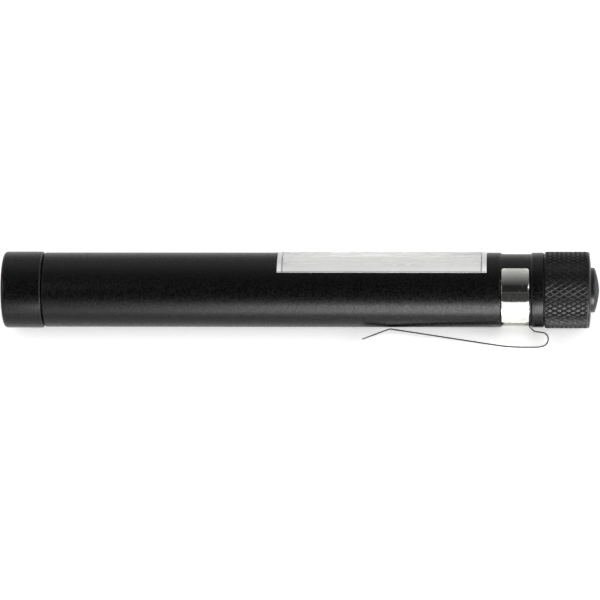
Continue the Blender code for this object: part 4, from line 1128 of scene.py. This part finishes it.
@dataclass
class Barrel(Assembly):
    """Barrel tube with its head spigot, milled window, clip groove and tail thread."""

    radius: float = 0.01025
    bore: float = 0.0088
    spigot_front: float = 0.0049
    spigot_bore: float = 0.0078
    ring: tuple[float, float, float] = (0.00975, 0.01065, 0.00845)
    front: float = 0.01125
    back: float = 0.1485
    chamfer: float = 0.0003
    shoulder: float = 0.0144
    groove: tuple[float, float, float] = (0.1362, 0.14495, 0.00985)
    groove_round: float = 0.0012
    mouth: tuple[float, float] = (0.1473, 0.0096)
    tail_bore: float = 0.00925
    relief: float = 0.1415
    window: tuple[float, float] = (0.0756, 0.13295)
    flat: float = 0.0046
    across_window: int = 56
    across_rest: int = 112
    spigot_thread: Thread = Thread(0.0088, 0.0059)
    tail_thread: Thread = Thread(0.00925, 0.142275)
    seal: tuple[float, float, float] = (0.0102, 0.00895, 0.00038)
    worn: tuple[float, float, float] = (0.01135, 0.1451, 0.1484)

    def shoulder_curve(self) -> list[tuple[float, float]]:
        """List the groove's rounded front shoulder: r falls by 3s^2 - 2s^3 over its length."""
        share = np.linspace(0.0, 1.0, 13)
        drop = (self.radius - self.groove[2]) * share**2 * (3.0 - 2.0 * share)
        return list(zip(self.groove[0] + self.groove_round * share, self.radius - drop))

    def profile(self) -> Array:
        """Trace the section, with 0 for the outside and 1 for the bore as its third column.

        Returns:
            Rows of x, r and side, once round the section.
        """
        c = self.chamfer
        outer = [
            (self.spigot_front, self.bore - c),
            (self.spigot_front + c, self.bore),
            (self.ring[0], self.bore),
            (self.ring[0], self.ring[2]),
            (self.ring[1], self.ring[2]),
            (self.ring[1], self.bore),
            (self.front, self.bore),
            (self.front, self.radius - c),
            (self.front + c, self.radius),
            *self.shoulder_curve(),
            (self.groove[1], self.groove[2]),
            (self.groove[1], self.radius - c),
            (self.groove[1] + c, self.radius),
            (self.back - c, self.radius),
            (self.back, self.radius - c),
        ]
        inner = [
            (self.back, self.mouth[1]),
            (self.mouth[0], self.mouth[1]),
            (self.mouth[0], self.tail_bore),
            (self.relief, self.tail_bore),
            (self.relief - (self.tail_bore - self.bore), self.bore),
            (self.shoulder, self.bore),
            (self.shoulder, self.spigot_bore),
            (self.spigot_front, self.spigot_bore),
        ]
        rows = np.array([(x, r, 0.0) for x, r in outer] + [(x, r, 1.0) for x, r in inner])
        rows = self.spigot_thread.split(eased(rows, BROKEN), self.spigot_front + c + MARGIN,
                                        self.ring[0] - MARGIN)
        rows = self.tail_thread.split(rows, self.relief + 1.25 * MARGIN)
        rows = refined(rows, self.radius, *self.window, 2)
        return refined(rows, self.bore, *self.window, 2)

    def columns(self, radius: float) -> Array:
        """Spread angles so that two columns meet the milled flat at a radius."""
        half = math.acos(self.flat / radius)
        window = np.linspace(-half, half, self.across_window + 1)
        rest = np.linspace(half, math.tau - half, self.across_rest + 1)[1:-1]
        return np.concatenate([window, rest])

    def tube(self) -> None:
        """Make the tube: a turned section whose grid is opened where the window is milled.

        The outside and the bore each have columns that meet the milled flat. The quads over
        the window are left out, two lands join the outside to the bore along the flat, and two
        end walls join them across it.
        """
        rows = self.profile()
        outside, inside = self.columns(self.radius), self.columns(self.bore)
        angle = outside + (inside - outside) * rows[:, 2:3]
        ribs = self.spigot_thread.rise(rows, angle) - self.tail_thread.rise(rows, angle)
        points = turned_grid(rows, angle, ribs)
        points = np.concatenate([points, points[:1]])
        count = angle.shape[1]
        quads = grid_faces(len(points), count, True)
        row, column = quads[:, 0] // count, quads[:, 0] % count
        station = np.append(rows[:, 0], rows[0, 0])
        low = np.minimum(station[row], station[row + 1])
        high = np.maximum(station[row], station[row + 1])
        open_rows = (low > self.window[0] - MERGE) & (high < self.window[1] + MERGE)
        hole = open_rows & (column < self.across_window)

        def line(station: float, inner: bool) -> Array:
            """Number the points over the window at a station, outside or in the bore."""
            match = (np.abs(rows[:, 0] - station) < LEVEL) & ((rows[:, 2] > 0.5) == inner)
            return int(np.flatnonzero(match)[0]) * count + np.arange(self.across_window + 1)

        ends = [[line(station, inner) for inner in (False, True)] for station in self.window]
        walls = [np.stack([outer[:-1], outer[1:], inner[1:], inner[:-1]], -1)
                 for outer, inner in ends]
        lands = np.stack([*ends[0], *ends[1][::-1]], -1)[[0, -1]]
        self.fit(Skin().add(points, quads[~hole], *walls, lands), "barrel_skin", "barrel",
                 "barrel", Anodised(edges=self.worn), ("barrel_tube",))

    def build(self) -> None:
        """Make the barrel and the ring that seals the head on it."""
        self.tube()
        self.fit(ring_skin(*self.seal), "head_ring_seal", "barrel", "seal_rubber", Rubber(),
                 ("head_o_ring",))


@dataclass
class WindowLight(Assembly):
    """Clear D-section cover, and under it the strip light on its board, tray and wires."""

    window: tuple[float, float] = (0.0756, 0.13295)
    gap: float = 0.0001
    radius: float = 0.01049
    bottom: float = 0.00466
    wall: float = 0.0012
    end_wall: float = 0.0014
    edge: float = 0.0002
    edge_middle: float = 0.3
    milky: tuple[float, float, float] = (0.0078, 0.0056, 0.33)
    foot: float = 0.00495
    board: tuple[float, float, float, float] = (0.051, 0.009, 0.0043, 0.0051)
    board_corner: float = 0.0006
    strip: tuple[float, float, float, float] = (0.048, 0.005, 0.0053, 0.0059)
    strip_corner: float = 0.0016
    bead: tuple[float, float] = (0.00042, 0.000672)
    across: int = 64

    def section(self, radius: float) -> Array:
        """Trace the arc of a circle above the cover's bottom, as (y, z) points."""
        half = math.acos(self.bottom / radius)
        angle = np.linspace(-half, half, self.across + 1)
        return np.stack([radius * np.sin(angle), radius * np.cos(angle)], -1)

    def chord(self, radius: float) -> Array:
        """Trace the straight line under that arc, as (y, z) points."""
        half = math.sqrt(radius**2 - self.bottom**2)
        y = np.linspace(-half, half, self.across + 1)
        return np.stack([y, np.full_like(y, self.bottom)], -1)

    def cover(self) -> None:
        """Make the cover: an outer arc and an inner arc carried along x, closed by end walls."""
        front, back = self.window[0] + self.gap, self.window[1] - self.gap
        room = front + self.end_wall, back - self.end_wall
        inner = self.radius - self.wall

        def at(x: float, section: Array) -> Array:
            """Stand a section at a station."""
            return np.column_stack([np.full(len(section), x), section])

        def patch(*sections: Array) -> None:
            """Span sections with a grid."""
            skin.grid(np.stack(sections))

        e, rim, m = self.edge, self.radius - self.edge, self.edge_middle * self.edge
        soft = [(front, e), (front + m, m), (front + e, 0.0)]
        soft += [(back + front - x, cut) for x, cut in soft[::-1]]
        rows = [at(x, self.section(self.radius - cut)) for x, cut in soft]
        hollow = [at(x, self.section(inner)) for x in room]
        skin = Skin()
        patch(*rows)
        patch(*hollow)
        for end, wall in zip((front, back), room):
            patch(at(end, self.section(rim)), at(end, self.chord(rim)))
            patch(at(wall, self.section(inner)), at(wall, self.chord(inner)))
            patch(at(end, self.chord(rim)), at(wall, self.chord(inner)))
        for k in (0, -1):
            skin.add(np.array([row[k] for row in rows + hollow[::-1]]),
                     [[0, 1, 7], [1, 2, 7], [4, 5, 6], [3, 4, 6]], [[2, 3, 6, 7]])
        finish = Clear(milky=self.milky, foot=self.foot, joints=room)
        piece = self.fit(skin, "window_shell", "barrel", "window_cover", finish,
                         ("window_cover",))
        round_edges(piece, width=0.00012, degrees=40.0)

    def strip_light(self) -> None:
        """Make the board with round corners, and the phosphor bead on it."""
        middle = sum(self.window) / 2
        length, width, low, high = self.board
        outline = rounded_rectangle(length, width, self.board_corner)
        skin = slab_skin(outline, middle, slab_levels(low, high, BROKEN))
        self.fit(skin, "strip_board", "barrel", "cob_board", Board(Mask.WHITE), ("cob_board",))
        length, width, low, high = self.strip
        swing = np.radians(np.linspace(0.0, 90.0, 7))
        fall, inset = self.bead
        levels = [(low, 0.0), *zip(high - fall * (1 - np.sin(swing)), inset * (1 - np.cos(swing)))]
        skin = slab_skin(rounded_rectangle(length, width, self.strip_corner), middle, levels)
        self.fit(skin, "strip_phosphor", "barrel", "cob_strip", Phosphor(), ("cob_strip",),
                 sharp=60.0)

    def build(self) -> None:
        """Make the window's pieces, and dress the ones that stay."""
        self.cover()
        self.strip_light()
        self.dress(
            window_tray=Moulded((0.8, 0.8, 0.78), (0.72, 0.72, 0.7), 0.42),
            wire_red=Insulation((0.45, 0.012, 0.01)),
            wire_black=Insulation((0.012, 0.012, 0.013)),
        )


@dataclass
class Cells(Assembly):
    """Three cells nose to tail, in a sleeve of thin plastic."""

    front: float = 0.0169
    step: float = 0.0447
    length: float = 0.0445

    def build(self) -> None:
        """Dress the cells and their sleeve."""
        for k in range(3):
            jacket = CellJacket(self.front + k * self.step, self.length)
            self.dress(**{f"cell_{k + 1}": jacket})
        self.dress(cell_sleeve=Moulded((0.62, 0.62, 0.6), (0.5, 0.5, 0.49), 0.5))


@dataclass
class SpringClip(Assembly):
    """Spring-steel clip: a band in the groove, a neck, a U bend and a long sprung arm."""

    middle: float = 0.14065
    radius: float = 0.01035
    width: float = 0.0074
    reach: float = 123.5
    corner: float = 0.0007
    thickness: float = 0.00038
    strip: float = 0.0055
    neck_depth: float = 0.01135
    step: float = 42.0
    step_radii: tuple[float, float] = (0.0006, 0.0008)
    neck: tuple[float, float] = (0.00215, 7.0)
    bend: tuple[float, float] = (0.0018, 0.00205)
    exit: tuple[float, float] = (0.008, 15.0)
    heel: float = 0.0028
    bow: tuple[float, float] = (0.055, 8.61845)
    arm: float = 0.0284
    contact: float = 0.0022
    flare: tuple[float, float] = (0.0076, 20.5)
    tip_corner: float = 0.0022
    curled: float = 0.0025
    hinge: tuple[float, float] = (0.147572, -0.013399)
    hinge_lean: float = 0.13
    hinge_reach: float = 0.0007

    def path(self) -> tuple[Array, Array]:
        """Trace the strip's middle line from the band's back edge to the tip.

        Each part has a length and a turn. Its heading changes evenly along it, so its steps
        are chords of length 2 sin(turn / 2) over the curvature, along the mean heading.

        Returns:
            Points (x, depth under the axis), and the length gone at each.
        """
        s1, s2 = self.step_radii
        angle, tilt = math.radians(self.step), math.radians(self.neck[1])
        rise = s1 * (1 - math.cos(angle)) + s2 * (math.cos(tilt) - math.cos(angle))
        straight = (self.neck_depth - self.radius - rise) / math.sin(angle)
        parts = [
            (s1 * angle, self.step, 10),
            (straight, 0.0, 3),
            (s2 * (angle - tilt), self.neck[1] - self.step, 10),
            (self.neck[0], 0.0, 6),
            (self.bend[0] * (math.pi / 2 - tilt), 90.0 - self.neck[1], 26),
            (self.bend[1] * math.radians(90.0 - self.exit[1]), 90.0 - self.exit[1], 26),
            (self.exit[0] * math.radians(self.exit[1]), self.exit[1], 8),
            (self.heel, 0.0, 4),
            (self.bow[0] * math.radians(self.bow[1]), self.bow[1], 12),
            (self.arm, 0.0, 24),
            (self.contact * math.radians(self.bow[1] + self.flare[1]),
             -self.bow[1] - self.flare[1], 14),
            (self.flare[0] - self.tip_corner, 0.0, 6),
            (self.tip_corner, 0.0, 14),
        ]
        length = np.concatenate([np.full(n, run / n) for run, turn, n in parts])
        turn = np.radians(np.concatenate([np.full(n, turn / n) for run, turn, n in parts]))
        heading = np.cumsum(turn) - turn / 2
        chord = length * np.sinc(turn / math.tau)
        moves = np.stack([chord * np.cos(heading), chord * np.sin(heading)], -1)
        start = np.array([[self.middle + self.width / 2, self.radius]])
        points = np.concatenate([start, start + np.cumsum(moves, 0)])
        return points, np.concatenate([[0.0], np.cumsum(length)])

    def sheet(self) -> Skin:
        """Make the middle surface of the steel.

        The band is a cylinder whose ends round off where its edge comes in by
        c (1 - cos a) as the angle nears the end by c (1 - sin a). The strip is the path
        carried across its width, curved as the band at first, and rounded to its tip.

        Returns:
            The surface, one sheet thick.
        """
        half = self.width / 2
        neck = math.asin(self.strip / 2 / self.radius)
        corner = self.corner / self.radius
        side = np.linspace(neck, math.radians(self.reach) - corner, 46)[1:]
        swing = np.linspace(0.0, math.pi / 2, 9)[1:]
        tip = math.radians(self.reach) - corner * (1 - np.sin(swing))
        outer = np.concatenate([side, tip])
        cut = np.concatenate([0.0 * side, self.corner * (1 - np.cos(swing))])
        inner = np.linspace(-neck, neck, 13)
        angle = np.concatenate([-outer[::-1], inner, outer])
        inset = np.concatenate([cut[::-1], 0.0 * inner, cut])
        x = self.middle + np.linspace(-1.0, 1.0, 7)[:, None] * (half - inset)
        band = np.stack([x, np.broadcast_to(self.radius * np.sin(angle), x.shape),
                         np.broadcast_to(-self.radius * np.cos(angle), x.shape)], -1)
        path, gone = self.path()
        past = np.clip(gone - gone[-1] + self.tip_corner, 0.0, self.tip_corner)
        drop = self.tip_corner - np.sqrt(self.tip_corner**2 - past**2)
        across = np.linspace(-1.0, 1.0, 13)
        curl = np.clip(1.0 - gone / self.curled, 0.0, 1.0)[:, None]
        y = (self.strip / 2 - drop)[:, None] * across
        y = y + (self.radius * np.sin(inner) - self.strip / 2 * across) * curl
        z = self.radius * (1 - np.cos(inner)) * curl - path[:, 1:]
        strip = np.stack([np.broadcast_to(path[:, :1], y.shape), y, z], -1)
        return Skin().grid(band).grid(strip)

    def build(self) -> None:
        """Make the clip in one piece: its middle sheet, thickened and with rounded edges."""
        piece = self.fit(self.sheet(), "spring_clip", "", "clip_steel", SPRING_STEEL,
                         ("clip_band", "clip_arm"), sharp=60.0)
        # The rim gets the sheared-edge finish, whose near-black colour is painted shade.
        piece.data.materials.append(SHEARED_EDGE_PAINTED_SHADE.make("spring_clip_edge_painted_shade", self.axes))
        thick = piece.modifiers.new("Sheet", "SOLIDIFY")
        thick.thickness = self.thickness
        thick.offset = 0.0
        thick.use_even_offset = True
        thick.material_offset_rim = 1
        round_edges(piece, width=0.00004, degrees=50.0)
        pivot = np.array([self.hinge[0], 0.0, self.hinge[1]])
        away = np.array([-self.hinge_lean, 0.0, -1.0]) / math.hypot(self.hinge_lean, 1.0)
        away *= self.hinge_reach
        self.axes.point(*(pivot - away))
        self.axes.point(*(pivot + away))
        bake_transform(piece)


@dataclass
class TailSwitch(Assembly):
    """Rubber button over a sprung plunger, the switch on its board and the cell spring."""

    flange_front: float = 0.1582
    flange: float = 0.0009
    flange_radius: float = 0.00775
    radius: float = 0.00615
    bore: float = 0.0052
    side_back: float = 0.1624
    crown: float = 0.0011
    crown_radius: float = 0.0057195
    crown_edge: float = 0.86
    crown_power: float = 1.6
    ceiling_rise: float = 0.00099
    ceiling_chamfer: float = 0.0003
    top: float = 0.001
    edge: float = 0.0005
    housing_back: float = 0.1569
    plunger_seat: float = 0.1599
    spring_front: float = 0.151
    cell_cone: tuple[float, float] = (0.0016, 0.0044)
    cell_travel: float = 0.0013
    cell_wire: float = 0.0003
    cell_turns: float = 2.5
    button_coil: tuple[float, float] = (0.00295, 0.00295)
    button_travel: float = 0.0027
    button_wire: float = 0.00025
    button_turns: float = 2.75
    button_gap: float = 0.0002

    def boot(self) -> None:
        """Turn the button: straight side, round edge, and a crown that falls with a power."""
        share = np.linspace(self.crown_edge, 0.0, 22)
        crown = np.column_stack([self.side_back + self.crown * (1 - share**self.crown_power),
                                 self.crown_radius * share])
        shoulder = np.array(arc(self.side_back - self.edge, self.radius - self.edge, self.edge,
                                90.0, 25.0, 8))
        bridge = np.linspace(shoulder[-1], crown[0], 6)[1:-1]
        ceiling, flange_back = self.side_back - self.top, self.flange_front + self.flange
        inside = np.array([
            (ceiling + self.ceiling_rise, 0.0),
            (ceiling, self.bore - self.ceiling_chamfer),
            (ceiling - self.ceiling_chamfer, self.bore),
            (self.flange_front, self.bore),
            (self.flange_front, self.flange_radius),
            (flange_back, self.flange_radius),
            (flange_back, self.radius),
        ])
        side = np.linspace((flange_back + 2 * MARGIN, self.radius),
                           (self.side_back - self.edge - MARGIN, self.radius), 14)
        profile = np.concatenate([inside, side, shoulder, bridge, crown])
        finish = Rubber(bloom=(0.016, 0.016, 0.017), roughness=0.6, stipple=6500.0,
                        relief=0.000004, gloss=(0.006, 0.2), level=0.3)
        piece = self.fit(turned_skin(profile, closed=False), "button_boot", "",
                         "button_rubber", finish, ("switch_boot",), sharp=40.0)
        self.axes.point(self.flange_front + self.flange)
        self.axes.point(self.side_back - self.top)
        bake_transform(piece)

    def springs(self) -> None:
        """Wind the cell spring, a cone, and the plunger's spring."""
        cone = coil_skin(self.cell_travel, self.cell_cone, self.cell_wire, self.cell_turns,
                         self.spring_front + self.cell_wire)
        self.fit(cone, "cell_spring", "switch_insert", "spring_gilt", GILT_WIRE, ("tail_spring",))
        front = self.housing_back + self.button_gap
        length = self.plunger_seat - self.housing_back
        coil = coil_skin(self.button_travel, self.button_coil, self.button_wire,
                         self.button_turns, front + self.button_wire)
        piece = self.fit(coil, "button_spring", "", "spring_steel", PLATED_WIRE,
                         ("plunger_spring",))
        self.axes.point(front)
        self.axes.point(front + length)
        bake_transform(piece)

    def build(self) -> None:
        """Make the button and the springs, and dress the pieces that stay."""
        self.boot()
        self.springs()
        self.dress(
            switch_board=Board(Mask.GREEN, 0.0013),
            switch_housing=Moulded((0.014, 0.014, 0.015), (0.024, 0.024, 0.025), 0.42),
            switch_spacer=Moulded((0.03, 0.03, 0.031), (0.045, 0.045, 0.046), 0.5),
            switch_plunger=Moulded((0.74, 0.74, 0.71), (0.66, 0.66, 0.63), 0.42),
        )


@dataclass
class TailCap(Assembly):
    """Knurled tail cap with a threaded neck, its rubber ring and the switch's retainer."""

    front: float = 0.14868
    back: float = 0.1609
    radius: float = 0.0105
    chamfer: float = 0.00012
    lip: float = 0.0007
    shoulder: tuple[float, float] = (0.14852, 0.00995)
    corner: float = 0.0005
    broken: float = 0.00005
    cone: float = 0.0004
    hole: float = 0.00645
    hole_chamfer: float = 0.0003
    wall_front: float = 0.1593
    bore: float = 0.00805
    neck_front: float = 0.1424
    neck_radius: float = 0.0086
    neck_chamfer: float = 0.0003
    starts: int = 44
    knurl_rows: int = 9
    depth: float = 0.00017
    groove: float = 0.42
    fine: int = 5
    thread: Thread = Thread(0.0086, 0.1429)
    seal: tuple[float, float, float] = (0.1479, 0.0091, 0.00038)
    worn: tuple[float] = (0.1603,)
    tips: tuple[float, float] = (0.0104, 0.01051)

    def knurl(self) -> tuple[Array, Array]:
        """Work out the knurled band as a height over its valleys.

        Two families of grooves cross: a half of the sum, and a half of the difference, of the
        place along the band and the place around it, each counted in half diamonds. The
        height rises with the smaller distance to a groove of either family and is held at its
        crest, so each diamond is a pyramid with a flat top.

        Returns:
            Stations, and heights for each station and angle.
        """
        along = np.arange(self.knurl_rows * self.fine + 1)[:, None] / self.fine
        around = np.arange(2 * self.starts * self.fine)[None, :] / self.fine
        one, two = (along + around) / 2, (along - around) / 2
        near = np.minimum(np.abs(one - np.round(one)), np.abs(two - np.round(two))) * 2
        dull = np.clip(near / self.groove, 0.0, 1.0)
        left = np.minimum(along, self.knurl_rows - along)
        end = np.clip(0.5 + 2.5 * left, 0.0, 1.0)
        first, last = self.front + self.chamfer, self.back - self.lip
        x = first + (last - first) * along[:, 0] / self.knurl_rows
        return x, self.depth * dull * end

    def cap(self) -> None:
        """Turn the cap: the knurled band, then the rest of its section with the neck's thread."""
        x, height = self.knurl()
        valley = self.radius - self.depth
        angle = full_turn(height.shape[1])
        band = np.column_stack([x, np.full(len(x), valley)])
        skin = Skin().relief_grid(turned_grid(band, angle, height), height)
        d = self.depth
        corners = [
            (x[-1], valley),
            (x[-1] + d / 3, valley + d / 2),
            (x[-1] + d / 2, self.radius - d / 10),
            *arc(self.back - self.corner, self.radius - self.corner, self.corner, 84.0, 0.0, 6),
            (self.back + self.cone, self.hole + self.hole_chamfer),
            (self.back + self.cone - self.hole_chamfer, self.hole),
            (self.wall_front, self.hole),
            (self.wall_front, self.bore),
            (self.neck_front, self.bore),
            (self.neck_front, self.neck_radius - self.neck_chamfer),
            (self.neck_front + self.neck_chamfer, self.neck_radius),
            (self.shoulder[0], self.neck_radius),
            self.shoulder,
            (self.front, self.shoulder[1]),
            (self.front, valley - self.chamfer / 2),
            (x[0], valley),
        ]
        profile = eased(corners, self.broken, 2, closed=False)
        profile = self.thread.split(profile, self.neck_front + self.neck_chamfer + MARGIN)
        relief = self.thread.rise(profile, angle)
        relief[0], relief[-1] = height[-1], height[0]
        skin.grid(turned_grid(profile, angle, relief), around=True)
        finish = Anodised(edges=self.worn, edge_width=0.0002, rubbed=1.0,
                          worn=(0.11, 0.11, 0.112), tips=self.tips)
        self.fit(skin, "tail_cap_skin", "cap", "tail_cap", finish, ("tail_cap",),
                 sharp=24.0)

    def build(self) -> None:
        """Make the cap and its ring, and dress the ring that holds the switch."""
        self.cap()
        self.fit(ring_skin(*self.seal), "tail_ring_seal", "cap", "seal_rubber", Rubber(),
                 ("tail_o_ring",))
        self.dress(switch_retainer=ALUMINIUM)


# ---- Studio


@dataclass(frozen=True)
class Softbox:
    """Soft light, aimed at the object. Azimuth and height are degrees, 0 at +X and 90 at +Y."""

    name: str
    azimuth: float
    height: float
    distance: float
    size: tuple[float, float]
    watts: float

    def hang(self) -> None:
        """Hang the light."""
        light = bpy.data.lights.new(self.name, "AREA")
        light.shape = "RECTANGLE"
        light.size, light.size_y = self.size
        light.energy = self.watts
        obj = bpy.data.objects.new(self.name, light)
        a, e = math.radians(self.azimuth), math.radians(self.height)
        way = Vector((math.cos(a) * math.cos(e), math.sin(a) * math.cos(e), math.sin(e)))
        obj.location = way * self.distance
        obj.rotation_euler = way.to_track_quat("Z", "Y").to_euler()
        obj.visible_camera = False
        bpy.context.scene.collection.objects.link(obj)


@dataclass
class Studio:
    """Pale paper stage, soft lights and the camera.

    The room's greys are (share of the half turn from the front over the top, brightness).
    """

    axes: LightAxes
    distance: float = 1.1
    lens: float = 240.3
    yaw: float = 3.56
    roll: float = 0.065
    below: float = 0.00281
    ahead: float = 0.00019
    paper_reach: float = 1.4
    paper_rise: float = 2.2
    paper_sides: int = 96
    softboxes: tuple[Softbox, ...] = (
        Softbox("left_box", 200.0, 42.0, 1.1, (0.6, 0.8), 4.4),
        Softbox("right_box", 342.0, 42.0, 1.1, (0.6, 0.8), 4.8),
        Softbox("front_box", 288.0, 5.5, 0.9, (0.74, 0.175), 7.2),
        Softbox("upper_box", 288.0, 15.0, 0.95, (0.74, 0.135), 0.6),
    )
    greys: tuple[tuple[float, float], ...] = (
        (0.0, 0.02), (0.13, 0.02), (0.14, 0.05), (0.275, 0.05), (0.285, 0.11), (0.3, 0.02),
        (0.4, 0.02), (0.415, 0.06), (0.444, 0.08), (0.536, 0.24), (0.611, 0.45),
        (0.683, 0.72), (0.73, 0.98), (0.82, 1.1), (1.0, 1.1),
    )

    def stage(self) -> None:
        """Make the paper: flat round the object, then rising as a smooth bowl."""
        share = np.concatenate([[0.0], np.linspace(0.05, 1.0, 24), np.linspace(1.02, 1.6, 24)])
        height = self.paper_rise * np.clip(share - 1.0, 0.0, None) ** 1.7
        angle = full_turn(self.paper_sides)
        x, y, z = np.broadcast_arrays(self.paper_reach * share[:, None] * np.cos(angle),
                                      self.paper_reach * share[:, None] * np.sin(angle),
                                      height[:, None])
        faces = grid_faces(*x.shape, True)[:, ::-1]
        mesh = bpy.data.meshes.new("paper")
        mesh.from_pydata(np.stack([x, y, z], -1).reshape(-1, 3).tolist(), [], faces.tolist())
        bm = bmesh.new()
        bm.from_mesh(mesh)
        bmesh.ops.remove_doubles(bm, verts=bm.verts, dist=MERGE)
        bm.to_mesh(mesh)
        bm.free()
        mesh.shade_smooth()
        paper = bpy.data.objects.new("paper", mesh)
        level = LightAxes(np.zeros(3), np.array([0.0, 1.0, 0.0]), np.array([0.0, 0.0, 1.0]))
        paper.data.materials.append(Paper().make("paper_finish", level))
        bpy.context.scene.collection.objects.link(paper)

    def room(self) -> None:
        """Light the room from behind: its grey grows from the front, over the top, to the back.

        The angle over the object is atan2(z, -y) of a direction, 0 at the front and pi at the
        back, and a ramp turns it into the room's brightness.
        """
        world = bpy.data.worlds.new("room")
        world.use_nodes = True
        tree = world.node_tree
        texture, split, flip, angle, scale, ramp = (
            tree.nodes.new("ShaderNode" + kind) for kind in
            ("TexCoord", "SeparateXYZ", "Math", "Math", "Math", "ValToRGB"))
        flip.operation, angle.operation, scale.operation = "MULTIPLY", "ARCTAN2", "DIVIDE"
        flip.inputs[1].default_value, scale.inputs[1].default_value = -1.0, math.pi
        for source, target in ((texture.outputs["Generated"], split.inputs[0]),
                               (split.outputs[1], flip.inputs[0]),
                               (split.outputs[2], angle.inputs[0]),
                               (flip.outputs[0], angle.inputs[1]),
                               (angle.outputs[0], scale.inputs[0]),
                               (scale.outputs[0], ramp.inputs[0]),
                               (ramp.outputs[0], tree.nodes["Background"].inputs["Color"])):
            tree.links.new(source, target)
        for _ in self.greys[2:]:
            ramp.color_ramp.elements.new(0.5)
        for stop, (place, grey) in zip(ramp.color_ramp.elements, self.greys):
            stop.position = place
            stop.color = (grey, grey, grey, 1.0)
        bpy.context.scene.world = world

    def camera(self) -> None:
        """Stand the camera square to the window's edge, a little towards the tail."""
        low, high = cad_box
        turn = math.radians(self.yaw)
        way = (math.sin(turn), 0.0, 0.0) - math.cos(turn) * self.axes.across
        aim = np.array([(low[0] + high[0]) / 2 - self.ahead, *self.axes.origin[1:]])
        aim -= self.below * self.axes.out
        right = np.cross(self.axes.out, way)
        up = np.cross(way, right)
        tilt = math.radians(self.roll)
        right, up = (right * math.cos(tilt) + up * math.sin(tilt),
                     up * math.cos(tilt) - right * math.sin(tilt))
        data = bpy.data.cameras.new("camera")
        data.lens = self.lens
        data.sensor_width = 36.0
        data.clip_start = 0.01
        obj = bpy.data.objects.new("camera", data)
        columns = np.stack([right, up, way, aim + self.distance * way], 1)
        obj.matrix_world = Matrix([*columns.tolist(), (0.0, 0.0, 0.0, 1.0)])
        bpy.context.scene.collection.objects.link(obj)
        bpy.context.scene.camera = obj

    def build(self) -> None:
        """Set up the stage, the lights and the camera."""
        bpy.context.scene.view_settings.view_transform = "Standard"
        self.stage()
        self.room()
        for softbox in self.softboxes:
            softbox.hang()
        self.camera()
        log.info("set up the studio")


def main() -> None:
    """Build the light from its head to its tail, then the studio."""
    logging.basicConfig(level=logging.INFO, format="%(name)s: %(message)s")
    axes = LightAxes.of_frame()
    for part in (Head(axes), FrontLamp(axes), Barrel(axes), WindowLight(axes), Cells(axes),
                 SpringClip(axes), TailSwitch(axes), TailCap(axes)):
        part.build()
        log.info("finished %s", type(part).__name__)
    Studio(axes).build()


if __name__ == "__main__":
    main()
